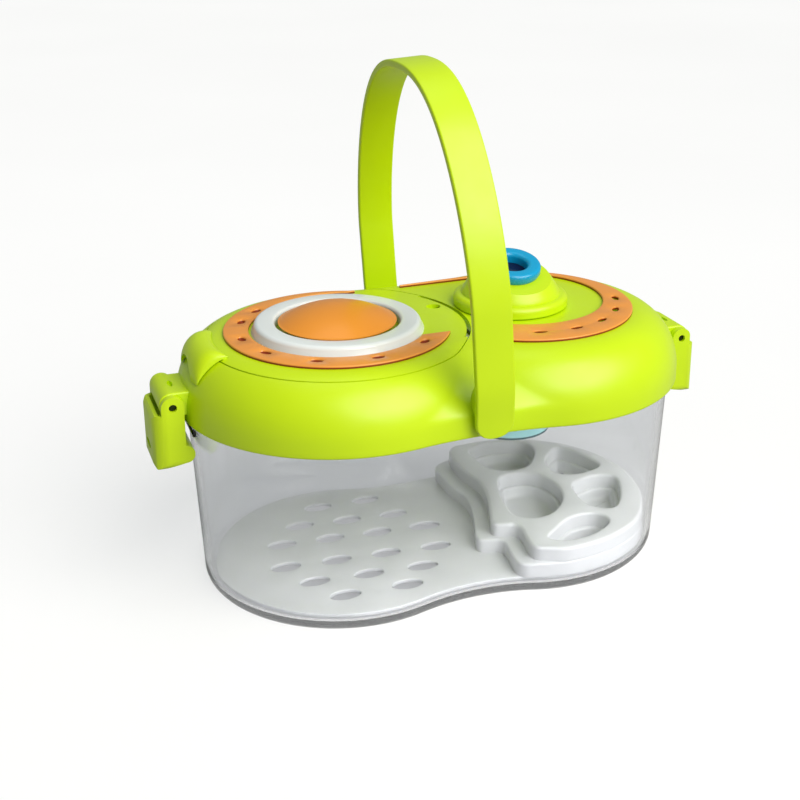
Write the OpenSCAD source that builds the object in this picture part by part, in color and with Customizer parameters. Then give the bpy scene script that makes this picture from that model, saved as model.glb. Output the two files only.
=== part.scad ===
// Two-lobed bug catcher jar: clear tub, lime lid with a round hatch on one lobe,
// a turning viewer on the other, a swinging carry handle and two end latches.
// Millimetres. +X runs along the two lobes, +Y is the back, +Z is up.
// The origin is the middle of the foot, on the surface that the jar stands on.

/* [Tub] */
// Outside radius of a lobe at the rim
tub_rim_r = 50; // [48:0.5:52]
// Distance from the middle to each lobe's axis, as a share of that radius
lobe_share = 0.66; // [0.64:0.005:0.68]
// Height of the tub
tub_h = 68; // [60:1:76]
// How much narrower a lobe is at the foot than at the rim
tub_draft = 3; // [1:0.5:4]
// Side wall
tub_wall = 2; // [1.5:0.1:2.5]
// Floor
tub_floor = 3; // [2:0.5:4]
// Rounding of the foot
foot_round = 4; // [3:0.5:5]
// How far the waist is drawn in at the foot
foot_waist_in = 5; // [4:0.5:6]
// How far the waist is drawn in at the rim
rim_waist_in = 3.5; // [3:0.5:4.5]
// Width of a catch rib
rib_w = 14; // [10:1:16]
// Height of a catch rib
rib_h = 2; // [1.5:0.5:3]
// How far a catch rib stands out of the wall
rib_out = 0.5; // [0.3:0.1:0.7]

/* [Lid] */
// Gap between the tub's rim and the lid's skirt
lid_fit = 0.7; // [0.5:0.1:1]
// Shell wall
lid_wall = 1.8; // [1.5:0.1:2.2]
// Deck thickness
deck_t = 2; // [1.6:0.1:2.4]
// How far the lid reaches down over the tub
lid_overlap = 6; // [4:0.5:8]
// Straight skirt below the shoulder
skirt_h = 4; // [3:0.5:5]
// Height of the rounded shoulder
shoulder_h = 18.4; // [17:0.2:20]
// How far the shoulder comes in
shoulder_in = 16; // [15:0.5:17]
// How far the waist is drawn in at the skirt
lid_waist_in = 3; // [2.5:0.25:3.5]
// How far the front valley is drawn in at the deck
valley_in = 13; // [11:0.5:14]
// Width of the ledge that sits on the tub's rim
stop_w = 2.6; // [2.2:0.1:3]
// Thickness of that ledge
stop_t = 1.7; // [1.2:0.1:2.2]

/* [Hatch] */
// Width of the lid that is left outside the hatch plate
hatch_margin = 9.7; // [9.3:0.1:10.5]
// Gap round the hatch plate
hatch_gap = 0.4; // [0.35:0.05:0.5]
// Extra gap beside the hinge
hinge_gap = 1; // [0.9:0.1:1.2]
// Thickness of the hatch plate's rim
hatch_rim_t = 4.1; // [3.8:0.1:4.4]
// Thickness of the hatch plate inside its rim
hatch_t = 2.2; // [1.8:0.1:2.6]
// Width of the hatch plate's thick rim
hatch_rim_w = 4.8; // [4.2:0.2:5.4]
// Distance from the hinge pin to the hatch hole's edge
hinge_in = 3.7; // [3.4:0.1:4]
// Radius of the hinge pin
hinge_pin_r = 0.6; // [0.5:0.05:0.7]
// How far the hinge pin reaches into the lid at each end
hinge_seat = 3.2; // [2.6:0.1:3.4]
// Depth of the hinge pin's axis below the deck
hinge_drop = 1.2; // [1.1:0.05:1.3]
// Half width of the lifting tab
tab_half = 12.5; // [10:0.5:14]
// Thickness of the lifting tab
tab_t = 3.4; // [2.8:0.2:4]
// Radius of the finger scoop under the tab
scoop_r = 5.6; // [4.5:0.1:6]

/* [Dome button] */
// Outside radius of the white bezel, as a share of the trims' radius
bezel_share = 0.761; // [0.74:0.001:0.77]
// Height of the bezel above the deck
bezel_h = 4.1; // [3.5:0.1:4.5]
// Radius of the dome, as a share of the bezel's radius
dome_share = 0.689; // [0.65:0.001:0.7]
// Gap round the dome
dome_gap = 0.9; // [0.6:0.1:1.2]
// Height of the dome's cap
dome_h = 4.9; // [4:0.1:6]
// Shell of the dome
dome_wall = 1.6; // [1.2:0.1:2]
// Travel of the dome
dome_travel = 2.5; // [1.5:0.1:2.6]
// Radius of the dome's stem
stem_r = 4; // [3.5:0.1:4.5]
// Inside radius of the guide cup
cup_r = 8.2; // [7.6:0.2:9]
// Depth of the guide cup
cup_h = 6.1; // [5:0.1:7]
// Radius of the return spring
spring_r = 6.8; // [6.2:0.1:7]
// Wire of the return spring
spring_wire = 1.2; // [0.8:0.1:1.4]

/* [Vent trims] */
// How far both orange trims reach past the flat deck
trim_over = 0.3; // [0:0.1:0.5]
// Height of the trims above the deck
trim_h = 1; // [0.8:0.1:1.4]
// Radius of the right trim's inner edge, as a share of the trims' radius
trim_bore_share = 0.775; // [0.76:0.001:0.79]
// Length of a vent slot
vent_l = 4.2; // [3:0.2:5]
// Width of a vent slot
vent_w = 1.2; // [1:0.1:1.6]
// Length of a dimple
dimple_l = 4; // [3:0.2:5]
// Width of a dimple
dimple_w = 2.4; // [2:0.2:3]

/* [Viewer] */
// How far the viewer's axis lies inside the lobe's axis
viewer_in = 3; // [2.4:0.1:3.2]
// How far the viewer's axis stands behind the lobe's axis
viewer_back = 4.5; // [3:0.5:5.5]
// Radius of the viewer's flange, as a share of the right trim's inner radius
flange_share = 0.684; // [0.66:0.001:0.686]
// Thickness of the flange
flange_t = 3.8; // [3.2:0.2:4.4]
// Radius of the hub that turns in the deck, as a share of the flange's radius
hub_share = 0.764; // [0.75:0.001:0.78]
// Radius of the cone's foot, as a share of the flange's radius
cone_share = 0.862; // [0.82:0.001:0.89]
// Height of the cone
cone_h = 9; // [8:0.5:10]
// Outside radius of the blue eyepiece ring, as a share of the flange's radius
eye_share = 0.513; // [0.47:0.001:0.53]
// Bore of the eyepiece ring, as a share of its outside
eye_bore_share = 0.52; // [0.45:0.01:0.58]
// Height of the eyepiece ring
eye_h = 3.5; // [3:0.1:4.5]
// Tilt of the eyepiece towards the front
eye_tilt = 15; // [10:1:18]
// How much narrower the viewing tube is than the hub
tube_in = 1.3; // [1.1:0.1:1.8]
// Wall of the viewing tube
tube_wall = 1.4; // [1:0.1:1.8]
// Height of the viewing tube's lower end above the table
tube_z = 42; // [36:1:48]
// How far the lens rim stands out of the tube
lens_rim_out = 0.8; // [0.7:0.1:1.3]

/* [Handle] */
// Width of the strap
strap_w = 12.5; // [10:0.5:14]
// Thickness of the strap
strap_t = 2.3; // [2:0.1:2.6]
// Gap between the lid's waist and the strap's feet
foot_gap = 1.2; // [1:0.1:1.8]
// How much wider the handle is above its feet, at each side
handle_out = 2; // [1:0.2:4]
// Height of the crown's start above the pivot
crown_start = 32; // [26:1:38]
// Height of the crown
crown_h = 66.5; // [58:0.5:72]
// Height of the pivot above the lid's skirt edge
pivot_up = 9; // [8.5:0.5:10]
// How far the strap reaches below the pivot
foot_drop = 8.5; // [7.5:0.5:9]
// Rounding of the strap's feet
foot_corner = 5; // [3:0.5:6]
// Lean of the handle towards the hatch
handle_lean = 3.5; // [0:0.5:6]
// Radius of the handle's studs
stud_r = 2.5; // [2:0.1:3]
// Radius of the pivot bosses
boss_r = 5.5; // [4.5:0.1:6]

/* [Latches] */
// Distance from the lid's wall to the latch pin
latch_out = 3.8; // [3.7:0.1:4.4]
// Height of the latch pin above the lid's skirt edge
latch_up = 7; // [6.5:0.1:7.5]
// Radius of a latch pin
latch_pin_r = 1.2; // [1:0.1:1.5]
// Width of a lug
lug_w = 17.3; // [14:0.1:18]
// Radius of a lug's round end
lug_r = 5; // [4.4:0.1:5]
// Thickness of a lever's cheek
cheek_t = 2.25; // [1.8:0.05:2.6]
// Gap between lug and cheek
cheek_gap = 0.35; // [0.3:0.05:0.5]
// Radius of a cheek's round top
knuckle_r = 3.6; // [3:0.1:3.6]
// Thickness of a lever's outer plate
plate_t = 2.2; // [1.8:0.1:2.6]
// Length of a lever below its pin
lever_drop = 21; // [19:0.5:23]
// Height of the nose bar
nose_h = 6; // [5:0.5:7]

/* [Trays] */
// Gap between the trays and the tub's wall
tray_gap = 0.8; // [0.5:0.1:1.2]
// Thickness of the floor tray's plate
floor_plate_t = 1.3; // [1:0.1:1.6]
// Height of the floor tray's skirt
floor_skirt_h = 0.9; // [0.6:0.1:1.4]
// Length of a floor slot
slot_l = 10; // [7:0.5:11]
// Width of a floor slot
slot_w = 5.5; // [3.5:0.5:6]
// Pitch of the floor slots, as a share of the floor tray's radius
slot_pitch_share = 0.4; // [0.37:0.001:0.41]
// Height of each cell tray
cell_h = 5; // [4:0.5:6]
// How much smaller the cells of the lower tray are all round
cell_step = 1.6; // [1:0.1:2]
// Floor of the lower cell tray
cell_floor = 1; // [0.8:0.1:1.4]
// How much farther left the lower cell tray reaches
cell_shift = 7.5; // [4:0.5:9]
// Corner radius of the cells
cell_corner = 5; // [4.2:0.2:5]

/* [Hidden] */
$fn = 72;

// Overrun of every cut, running fit of pins, and gap between pieces that move apart
cut = 1;
run_fit = 0.06;
free_gap = 0.3;
press_gap = 0.02;
// Steps along a lobe, along a waist fillet and up the shoulder
lobe_steps = 26;
waist_steps = 8;
shoulder_steps = 8;

// Lid and tub levels
lobe_x = lobe_share * tub_rim_r;
foot_r = tub_rim_r - tub_draft;
lid_r = tub_rim_r + lid_fit + lid_wall;
lid_z = tub_h - lid_overlap;
shoulder_z = lid_z + skirt_h;
deck_z = shoulder_z + shoulder_h;
under_deck_z = deck_z - deck_t;
deck_r = lid_r - shoulder_in;
lid_end_x = lobe_x + lid_r;
// Share of the shoulder's height at which the front valley starts to deepen
valley_start_share = 0.2;
// Share of the waist's draw that the back gains up to the deck
back_gain_share = 0.1;

// Hatch
hatch_x = -lobe_x;
hatch_r = lid_r - hatch_margin;
port_r = hatch_r + hatch_gap;
hatch_z = deck_z - hatch_rim_t;
ledge_z = hatch_z - free_gap;
ledge_w = 3.7;
ledge_t = 1.8;
collar_t = 1.6;
hinge_x = hatch_x + port_r - hinge_in;
hinge_z = deck_z - hinge_drop;
hinge_half = sqrt(pow(port_r, 2) - pow(port_r - hinge_in, 2)) + hinge_seat;
hinge_trim_half = hinge_half + hatch_gap + hinge_gap;
hinge_boss_w = 4;
hinge_boss_drop = 3.2;
pocket_r = hatch_r - hatch_rim_w;
pocket_z = deck_z - hatch_t;
recess_l = 4.6;
recess_w = 3;
recess_deep = 0.8;
recess_out_share = 0.86;
recess_side_share = 0.23;
// Shares of the shoulder's quarter turn between which the tab lies
tab_low_share = 0.36;
tab_high_share = 0.84;
tab_root = 1.4;
scoop_z_share = 0.5;

// Dome button, inside the left trim
trim_r = deck_r + trim_over;
bezel_r = bezel_share * trim_r;
dome_r = dome_share * bezel_r;
bezel_bore_r = dome_r + dome_gap;
bezel_slope = 1.6;
bezel_round = 1.2;
dome_z = deck_z + dome_travel + press_gap * 10;
dome_sphere_r = (dome_r * dome_r + dome_h * dome_h) / (2 * dome_h);
dome_mid_z = dome_z + dome_h - dome_sphere_r;
guide_r = bezel_r - free_gap;
guide_t = 1.5;
guide_z = pocket_z - guide_t;
cup_wall = 1.6;
cup_z = guide_z + guide_t - cup_h;
plate_bore_r = cup_r + free_gap;
guide_screw_r = 1.2;
guide_screw_head_r = 2.4;
guide_screw_head_h = 1.4;
guide_screw_at = (bezel_bore_r + bezel_r) / 2;
clip_r = 6.5;
clip_t = 1;
clip_groove = 0.8;
stem_tail = 1.4;
stem_z = cup_z - free_gap - clip_t - stem_tail;

// Vent trims: the right bore's centre as shares of the trim's radius, and where vents lie
trim_bore_x_share = 0.038;
trim_bore_y_share = 0.174;
trim_bore_r = trim_r * trim_bore_share;
trim_bore_x = trim_r * trim_bore_x_share;
trim_bore_y = trim_r * trim_bore_y_share;
right_start = -132;
right_end = 80;
vent_turns = [-104, -79, -56, -33, -11];
horn_tip_share = 0.92;
horn_wide = 2;
horn_thin = 0.8;
left_band_in = bezel_r + 0.7 * trim_h;
dimple_turns = [127, 153, 183, 210, 242, 276, 312];
dimple_deep = 0.6;
left_cut_share = 0.476;
taper_start = 127;
taper_end = 100;

// Viewer
viewer_x = lobe_x - viewer_in;
flange_r = flange_share * trim_bore_r;
hub_r = hub_share * flange_r;
cone_r = cone_share * flange_r;
eye_r = eye_share * flange_r;
eye_bore_r = eye_bore_share * eye_r;
tube_r = hub_r - tube_in;
lens_rim_r = tube_r + lens_rim_out;
flange_z = deck_z + free_gap;
flange_top_z = flange_z + flange_t;
flange_round = 1.4;
cone_step = 0.4;
cone_top_z = flange_top_z + cone_step + cone_h;
cone_top_r = eye_r + 0.4 * trim_h;
hub_wall = 1.6;
hub_bore_r = hub_r - hub_wall;
retainer_t = 1.2;
retainer_r = hub_r + 2.3 * retainer_t / 1.2;
retainer_z = under_deck_z - free_gap - retainer_t;
groove_deep = 0.9;
hub_z = retainer_z - retainer_t;
eye_seat_z = cone_top_z - 2 * trim_h;
eye_lens_r = eye_bore_r + 1.1;
eye_lens_t = 1.4;
cone_bore_r = eye_lens_r - 1;
neck_h = 3.2;
lens_edge = 1;
lens_bulge = 1.4;
lens_lip = 1.4;
rim_lap = 2.6;
rim_lip_w = 2.4;
lens_steps = 6;

// Handle
pivot_z = lid_z + pivot_up;
ease_h = 10;
ease_steps = 6;
crown_steps = 20;
crown_round_share = 0.82;
crown_lift_share = 1.29;
stud_tip = 1.6;
waist_half = lid_r - lid_waist_in;
handle_foot_half = waist_half + foot_gap + strap_t;
handle_half = handle_foot_half + handle_out;

// Latches
latch_x = lid_end_x + latch_out;
latch_z = lid_z + latch_up;
lug_down = 5;
lug_rise = 4.6;
lug_slot_l = 4;
lug_slot_w = 1.2;
lug_slot_deep = 1;
cheek_in = latch_out - 0.5 * trim_h;
plate_in = lug_r + free_gap;
lever_half = lug_w / 2 + cheek_gap + cheek_t;
plate_drop = 2.5;
plate_bevel = 1.5;
lever_corner = 3;
nose_reach = latch_out + lid_fit + lid_wall - rib_out + free_gap * 2 / 3;
nose_z = 13;
nose_round = nose_h / 2;
pin_inset = 1;
nail_l = 8;
nail_h = 2.4;
nail_deep = 0.8;
nail_z = 15;

// Trays: rows of floor slots as [share of the radius in Y, share in X of the first, count]
slot_row_shares = [[0.71, 0, 2], [0.412, -0.245, 3], [0.14, -0.475, 4], [-0.205, -0.515, 4],
    [-0.47, -0.355, 3], [-0.711, -0.195, 2]];
tray_z = tub_floor;
floor_top_z = tray_z + floor_skirt_h + floor_plate_t;
floor_tray_r = foot_r - tub_wall - 2 * tray_gap;
skirt_wall = 1.5;
slot_points = 20;
slot_pitch = slot_pitch_share * floor_tray_r;
cell_low_z = floor_top_z;
cell_mid_z = cell_low_z + cell_h;
cell_r = foot_r - tub_wall - tray_gap;
cell_waist = cell_r - foot_waist_in;
// Cells as shares of the cell tray's radius: [x, y, width, depth], with their turns beside them
cell_shares = [[0.147, 0.645, 0.498, 0.52], [0.622, 0.328, 0.328, 0.475], [0.063, -0.102, 0.475, 0.724],
    [0.595, -0.238, 0.396, 0.52], [0.17, -0.724, 0.498, 0.294]];
cell_turns = [-6, -3, -10, -14, 18];
// Round bulges of the cell trays' left edge: [x, y, radius] as shares of the same radius
bulge_shares = [[-0.023, 0.61, 0.294], [-0.09, -0.136, 0.27], [-0.204, -0.45, 0.226],
    [-0.023, -0.7, 0.27]];
cell_left_share = -0.045;

lime = [0.78, 0.93, 0.08];
orange_trim = [1, 0.65, 0.25];
orange_dome = [0.98, 0.58, 0.16];
tray_grey = [0.89, 0.9, 0.9];
clear_blue = [0.75, 0.88, 0.93, 0.35];

// Outline of two lobes joined by round waists, counter-clockwise
function waist_round(r, half) = (lobe_x * lobe_x + half * half - r * r) / (2 * (r - half));
function arc(x, y, r, a, b, n) = [for (i = [0:n - 1]) let (t = a + (b - a) * i / n)
    [x + r * cos(t), y + r * sin(t)]];
function eight(r, front, back) = let (
        fr = waist_round(r, front),
        br = waist_round(r, back),
        fa = atan2(front + fr, -lobe_x),
        ba = atan2(back + br, -lobe_x))
    concat(
        arc(lobe_x, 0, r, -fa, ba, lobe_steps),
        arc(0, back + br, br, ba - 180, -ba, waist_steps),
        arc(-lobe_x, 0, r, 180 - ba, 180 + fa, lobe_steps),
        arc(0, -front - fr, fr, fa, 180 - fa, waist_steps));

// Closed skin over rows of [lobe radius, front waist, back waist, height], lowest first
module eight_stack(rows) {
    rings = [for (row = rows) eight(row[0], row[1], row[2])];
    n = len(rings[0]);
    points = [for (k = [0:len(rows) - 1]) for (p = rings[k]) [p[0], p[1], rows[k][3]]];
    top = (len(rows) - 1) * n;
    sides = [for (k = [0:len(rows) - 2]) for (i = [0:n - 1]) let (j = (i + 1) % n)
        [k * n + i, (k + 1) * n + i, (k + 1) * n + j, k * n + j]];
    // Each end is closed by the two lobes and by quads across the waist
    foot = concat([[for (i = [0:lobe_steps]) i], [for (i = [0:lobe_steps]) lobe_steps + waist_steps + i]],
        [for (k = [0:waist_steps - 1]) [lobe_steps + k, lobe_steps + k + 1, n - k - 1, (n - k) % n]]);
    head = [for (f = foot) [for (i = [len(f) - 1:-1:0]) top + f[i]]];
    polyhedron(points, concat(sides, foot, head), convexity = 6);
}

// Rows of the lid's skin: wall is how far the skin lies inside the outer one
function shoulder_row(turn, wall) = let (
        up = sin(turn),
        r = lid_r - shoulder_in * (1 - cos(turn)),
        deepen = max(0, (up - valley_start_share) / (1 - valley_start_share)),
        front_in = lid_waist_in + (valley_in - lid_waist_in) * deepen,
        back_in = lid_waist_in * (1 + back_gain_share * up),
        rise = shoulder_h - (wall > 0 ? deck_t : 0))
    [r - wall, r - front_in - wall, r - back_in - wall, shoulder_z + rise * up];
function lid_rows(wall, low_z) = concat(
    [[lid_r - wall, waist_half - wall, waist_half - wall, low_z]],
    [for (i = [0:shoulder_steps]) shoulder_row(90 * i / shoulder_steps, wall)]);

module ring(outer, inner, h) {
    difference() {
        cylinder(r = outer, h = h);
        translate([0, 0, -cut]) cylinder(r = inner, h = h + 2 * cut);
    }
}

module rounded_rect(w, d, r) {
    square([w - 2 * r, d], center = true);
    square([w, d - 2 * r], center = true);
    for (x = [-1, 1], y = [-1, 1]) translate([x * (w / 2 - r), y * (d / 2 - r)]) circle(r = r);
}

module long_slot(l, w) {
    square([l - w, w], center = true);
    for (x = [-1, 1]) translate([x * (l - w) / 2, 0]) circle(r = w / 2);
}

// Tub
function tub_row(z, in) = let (share = z / tub_h, r = foot_r + tub_draft * share - in)
    [r, r - foot_waist_in + (foot_waist_in - rim_waist_in) * share,
    r - foot_waist_in + (foot_waist_in - rim_waist_in) * share, z];
module tub_outer() {
    foot = [for (a = [0:30:90]) let (in = foot_round * (1 - sin(a)), z = foot_round * (1 - cos(a)))
        [foot_r - in, foot_r - foot_waist_in - in, foot_r - foot_waist_in - in, z]];
    eight_stack(concat(foot, [tub_row(tub_h, 0)]));
}
module tub_inner() {
    low = tub_row(tub_floor + tub_wall, tub_wall);
    base = [low[0] - tub_wall, low[1] - tub_wall, low[2] - tub_wall, tub_floor];
    bend_in = tub_wall * (1 - sin(45));
    bend = [low[0] - bend_in, low[1] - bend_in, low[2] - bend_in, tub_floor + bend_in];
    high = tub_row(tub_h, tub_wall);
    eight_stack([base, bend, low, [high[0], high[1], high[2], tub_h + cut]]);
}
rib_z = latch_z - nose_z + rib_out;
module clear_tub() {
    color(clear_blue) difference() {
        union() {
            tub_outer();
            for (side = [-1, 1]) catch_rib(side);
        }
        tub_inner();
    }
}
module catch_rib(side) {
    out_x = lobe_x + foot_r + tub_draft * (rib_z + rib_h) / tub_h + rib_out;
    deep = tub_wall - rib_out / 2;
    translate([side * (out_x - deep / 2), 0, rib_z + rib_h / 2]) cube([deep, rib_w, rib_h], center = true);
}

// Trays
module floor_outline(in) {
    r = floor_tray_r - in;
    polygon(eight(r, r - foot_waist_in, r - foot_waist_in));
}
module oval(l, w) {
    polygon([for (i = [0:slot_points - 1]) let (t = 360 * i / slot_points)
        [l / 2 * cos(t), w / 2 * sin(t)]]);
}
module floor_slots() {
    for (row = slot_row_shares) for (k = [0:row[2] - 1])
        translate([row[1] * floor_tray_r - lobe_x + k * slot_pitch, row[0] * floor_tray_r])
            oval(slot_l, slot_w);
}
module floor_tray() {
    color(tray_grey) {
        translate([0, 0, tray_z]) linear_extrude(floor_skirt_h) difference() {
            floor_outline(skirt_wall);
            floor_outline(2 * skirt_wall);
        }
        translate([0, 0, tray_z + floor_skirt_h]) linear_extrude(floor_plate_t) difference() {
            floor_outline(0);
            floor_slots();
        }
    }
}
module cell_outline(shift) {
    intersection() {
        polygon(eight(cell_r, cell_waist, cell_waist));
        translate([lobe_x, 0]) {
            translate([cell_r * (1 + cell_left_share) - shift, 0])
                square([2 * cell_r, 2 * cell_r], center = true);
            for (b = bulge_shares) translate([b[0] * cell_r - shift, b[1] * cell_r])
                circle(r = b[2] * cell_r);
        }
    }
}
module cells(in) {
    for (k = [0:len(cell_shares) - 1]) let (c = cell_shares[k])
        translate([lobe_x + c[0] * cell_r, c[1] * cell_r]) rotate(cell_turns[k])
            rounded_rect(c[2] * cell_r - 2 * in, c[3] * cell_r - 2 * in, cell_corner - in);
}
module cell_tray_lower() {
    color(tray_grey) difference() {
        translate([0, 0, cell_low_z]) linear_extrude(cell_h) cell_outline(cell_shift);
        translate([0, 0, cell_low_z + cell_floor]) linear_extrude(cell_h) cells(cell_step);
    }
}
module cell_tray_upper() {
    color(tray_grey) translate([0, 0, cell_mid_z]) linear_extrude(cell_h) difference() {
        cell_outline(0);
        cells(0);
    }
}

// Lid
function strap_half(z) = let (t = min(1, max(0, (z - pivot_z + foot_drop) / (foot_drop + ease_h))))
    handle_foot_half + (handle_half - handle_foot_half) * t * t * (3 - 2 * t);
boss_face = strap_half(pivot_z - boss_r) - strap_t - free_gap;

module at_hatch() {
    translate([hatch_x, 0, 0]) children();
}
module along_y(y, r, l) {
    translate([0, y, 0]) rotate([-90, 0, 0]) cylinder(r = r, h = l);
}
module lug(side) {
    inner = lid_end_x - 2 * lid_wall;
    translate([side * latch_x, 0, latch_z]) along_y(-lug_w / 2, lug_r, lug_w);
    translate([side * (latch_x + inner) / 2, 0, latch_z + (lug_rise - lug_down) / 2])
        cube([latch_x - inner, lug_w, lug_rise + lug_down], center = true);
}
module lug_cuts(side) {
    translate([side * latch_x, 0, latch_z]) along_y(-lug_w, latch_pin_r + press_gap, 2 * lug_w);
    translate([side * (latch_x - lug_slot_w), 0, latch_z + lug_rise - lug_slot_deep])
        linear_extrude(lug_r) rotate(90) long_slot(lug_slot_l, lug_slot_w);
}
module lid_inside_parts() {
    // Ledge that sits on the tub's rim
    stop_r = tub_rim_r - stop_w;
    translate([0, 0, tub_h + free_gap]) linear_extrude(stop_t) difference() {
        polygon(eight(lid_r, waist_half, waist_half));
        polygon(eight(stop_r, stop_r - rim_waist_in, stop_r - rim_waist_in));
    }
    // Collar and ledge round the hatch hole
    at_hatch() translate([0, 0, ledge_z - ledge_t]) {
        ring(port_r + collar_t, port_r - collar_t, under_deck_z - ledge_z + ledge_t + cut);
        ring(port_r + collar_t, port_r - ledge_w, ledge_t);
    }
    // Seats of the hinge pin
    for (side = [-1, 1])
        translate([hinge_x, side * (hinge_half - hinge_boss_w / 2 + cut), deck_z - hinge_boss_drop / 2])
            cube([hinge_boss_w, hinge_boss_w + cut, hinge_boss_drop], center = true);
}
module lid_shell() {
    color(lime) difference() {
        union() {
            eight_stack(lid_rows(0, lid_z));
            for (side = [-1, 1]) lug(side);
            for (side = [-1, 1]) translate([0, side * waist_half, pivot_z])
                rotate([-90 * side, 0, 0]) translate([0, 0, -valley_in])
                    cylinder(r = boss_r, h = boss_face - waist_half + valley_in);
        }
        difference() {
            eight_stack(lid_rows(lid_wall, lid_z - cut));
            lid_inside_parts();
        }
        // Hatch hole, open below its ledge and beside the hinge
        at_hatch() translate([0, 0, ledge_z]) cylinder(r = port_r, h = shoulder_h);
        at_hatch() translate([0, 0, ledge_z - ledge_t - cut]) cylinder(r = port_r - ledge_w, h = shoulder_h);
        at_hatch() intersection() {
            translate([0, 0, ledge_z - ledge_t - cut]) cylinder(r = port_r, h = shoulder_h);
            translate([port_r - 2 * hinge_in + lobe_x / 2, 0, ledge_z])
                cube([lobe_x, 3 * lobe_x, shoulder_h], center = true);
        }
        translate([hinge_x, 0, hinge_z]) along_y(-hinge_half - press_gap, hinge_pin_r + press_gap,
            2 * (hinge_half + press_gap));
        // Bearing of the viewer, bearings of the handle, latch pins, vents
        translate([viewer_x, viewer_back, under_deck_z - cut]) cylinder(r = hub_r + 0.1 * trim_h, h = deck_t + 2 * cut);
        for (side = [-1, 1]) translate([0, side * waist_half, pivot_z])
            rotate([-90 * side, 0, 0]) translate([0, 0, -2 * lid_wall])
                cylinder(r = stud_r + run_fit, h = 4 * lid_wall);
        for (side = [-1, 1]) lug_cuts(side);
        translate([0, 0, under_deck_z - cut]) linear_extrude(deck_t + 2 * cut) vents_right();
    }
}
module hatch_hinge_pin() {
    color("silver") translate([hinge_x, 0, hinge_z]) along_y(-hinge_half, hinge_pin_r, 2 * hinge_half);
}
module latch_pin(side) {
    half = lever_half - pin_inset;
    color("silver") translate([side * latch_x, 0, latch_z]) along_y(-half, latch_pin_r, 2 * half);
}
module latch_pin_left() {
    latch_pin(-1);
}
module latch_pin_right() {
    latch_pin(1);
}

// Vent trims
function right_bore_at(turn) = let (
        along = trim_bore_x * cos(turn) + trim_bore_y * sin(turn),
        across = trim_bore_x * sin(turn) - trim_bore_y * cos(turn))
    along + sqrt(trim_bore_r * trim_bore_r - across * across);
module vents_right() {
    translate([lobe_x, 0]) for (turn = vent_turns) rotate(turn)
        translate([(trim_r + right_bore_at(turn)) / 2, 0]) rotate(90) long_slot(vent_l, vent_w);
}
module right_outline() {
    reach = 2 * trim_r;
    far = [for (turn = [right_start:(right_end - right_start) / 4:right_end])
        [reach * cos(turn), reach * sin(turn)]];
    translate([lobe_x, 0]) intersection() {
        difference() {
            circle(r = trim_r);
            translate([trim_bore_x, trim_bore_y]) circle(r = trim_bore_r);
        }
        polygon(concat([[0, 0]], far));
    }
    // Thin horn along the back edge of the deck
    base = [for (turn = [right_end - 6, right_end + 2]) [lobe_x + (trim_r - horn_thin) * cos(turn),
        (trim_r - horn_thin / 2) * sin(turn)]];
    tip_y = trim_r * horn_tip_share;
    polygon([base[0], base[1], [0, tip_y], [0, tip_y - horn_thin],
        [base[1][0], base[1][1] - horn_wide], [base[0][0], base[0][1] - horn_wide]]);
}
module vent_crescent_right() {
    color(orange_trim) translate([0, 0, deck_z]) linear_extrude(trim_h) difference() {
        right_outline();
        vents_right();
    }
}
module left_outline() {
    low_y = -trim_r * left_cut_share;
    steps = 6;
    // Tapered back end, from the full band to a thin tip on the outer edge
    taper_in = [for (i = [0:steps]) let (turn = taper_start + (taper_end - taper_start) * i / steps,
        r = left_band_in + (trim_r - left_band_in) * i / steps) [r * cos(turn), r * sin(turn)]];
    taper_out = [for (i = [steps:-1:0]) let (turn = taper_start + (taper_end - taper_start) * i / steps)
        [2 * trim_r * cos(turn), 2 * trim_r * sin(turn)]];
    intersection() {
        circle(r = trim_r);
        polygon(concat(taper_in, taper_out));
    }
    difference() {
        circle(r = trim_r);
        circle(r = left_band_in);
        polygon([[0, 0], [2 * trim_r * cos(taper_start), 2 * trim_r * sin(taper_start)],
            [2 * trim_r, 2 * trim_r], [2 * trim_r, low_y], [0, low_y]]);
    }
}
module vent_crescent_left() {
    color(orange_trim) at_hatch() difference() {
        translate([0, 0, deck_z]) linear_extrude(trim_h) left_outline();
        translate([0, 0, deck_z + trim_h - dimple_deep]) linear_extrude(trim_h)
            for (turn = dimple_turns) rotate(turn) translate([(trim_r + left_band_in) / 2 - horn_thin, 0])
                rotate(90) oval(dimple_l, dimple_w);
    }
}

// Hatch
function shoulder_point(turn, off) = let (
        n = [shoulder_h * cos(turn), shoulder_in * sin(turn)],
        size = norm(n))
    [lid_r - shoulder_in * (1 - cos(turn)) + off * n[0] / size,
    shoulder_z + shoulder_h * sin(turn) + off * n[1] / size];
module tab_profile() {
    low = 90 * tab_low_share;
    high = 90 * tab_high_share;
    steps = 10;
    outer = [for (i = [0:steps]) let (share = i / steps, turn = low + (high - low) * share)
        shoulder_point(turn, hatch_gap + tab_t * pow(sin(180 * (0.12 + 0.88 * share)), 0.6))];
    inner = [for (i = [0:steps]) let (turn = low + (high - low) * i / steps) shoulder_point(turn, hatch_gap)];
    over = [for (p = inner) if (p[0] > hatch_r - hatch_gap) p];
    edge = over[len(over) - 1];
    polygon(concat(over, [[hatch_r - hatch_gap, edge[1]], [hatch_r - hatch_gap, edge[1] - tab_root],
        [hatch_r - hatch_gap - tab_root, edge[1] - tab_root]],
        [for (i = [steps:-1:0]) outer[i]]));
}
module lifting_tab() {
    scoop_z = shoulder_z + shoulder_h * scoop_z_share;
    difference() {
        intersection() {
            rotate_extrude() tab_profile();
            translate([-lid_r, 0, deck_z]) cube([lid_r, 2 * tab_half, 2 * shoulder_h], center = true);
        }
        translate([-2 * lid_r, 0, scoop_z]) rotate([0, 90, 0]) cylinder(r = scoop_r, h = lid_r * 2 - hatch_r);
    }
}
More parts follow.
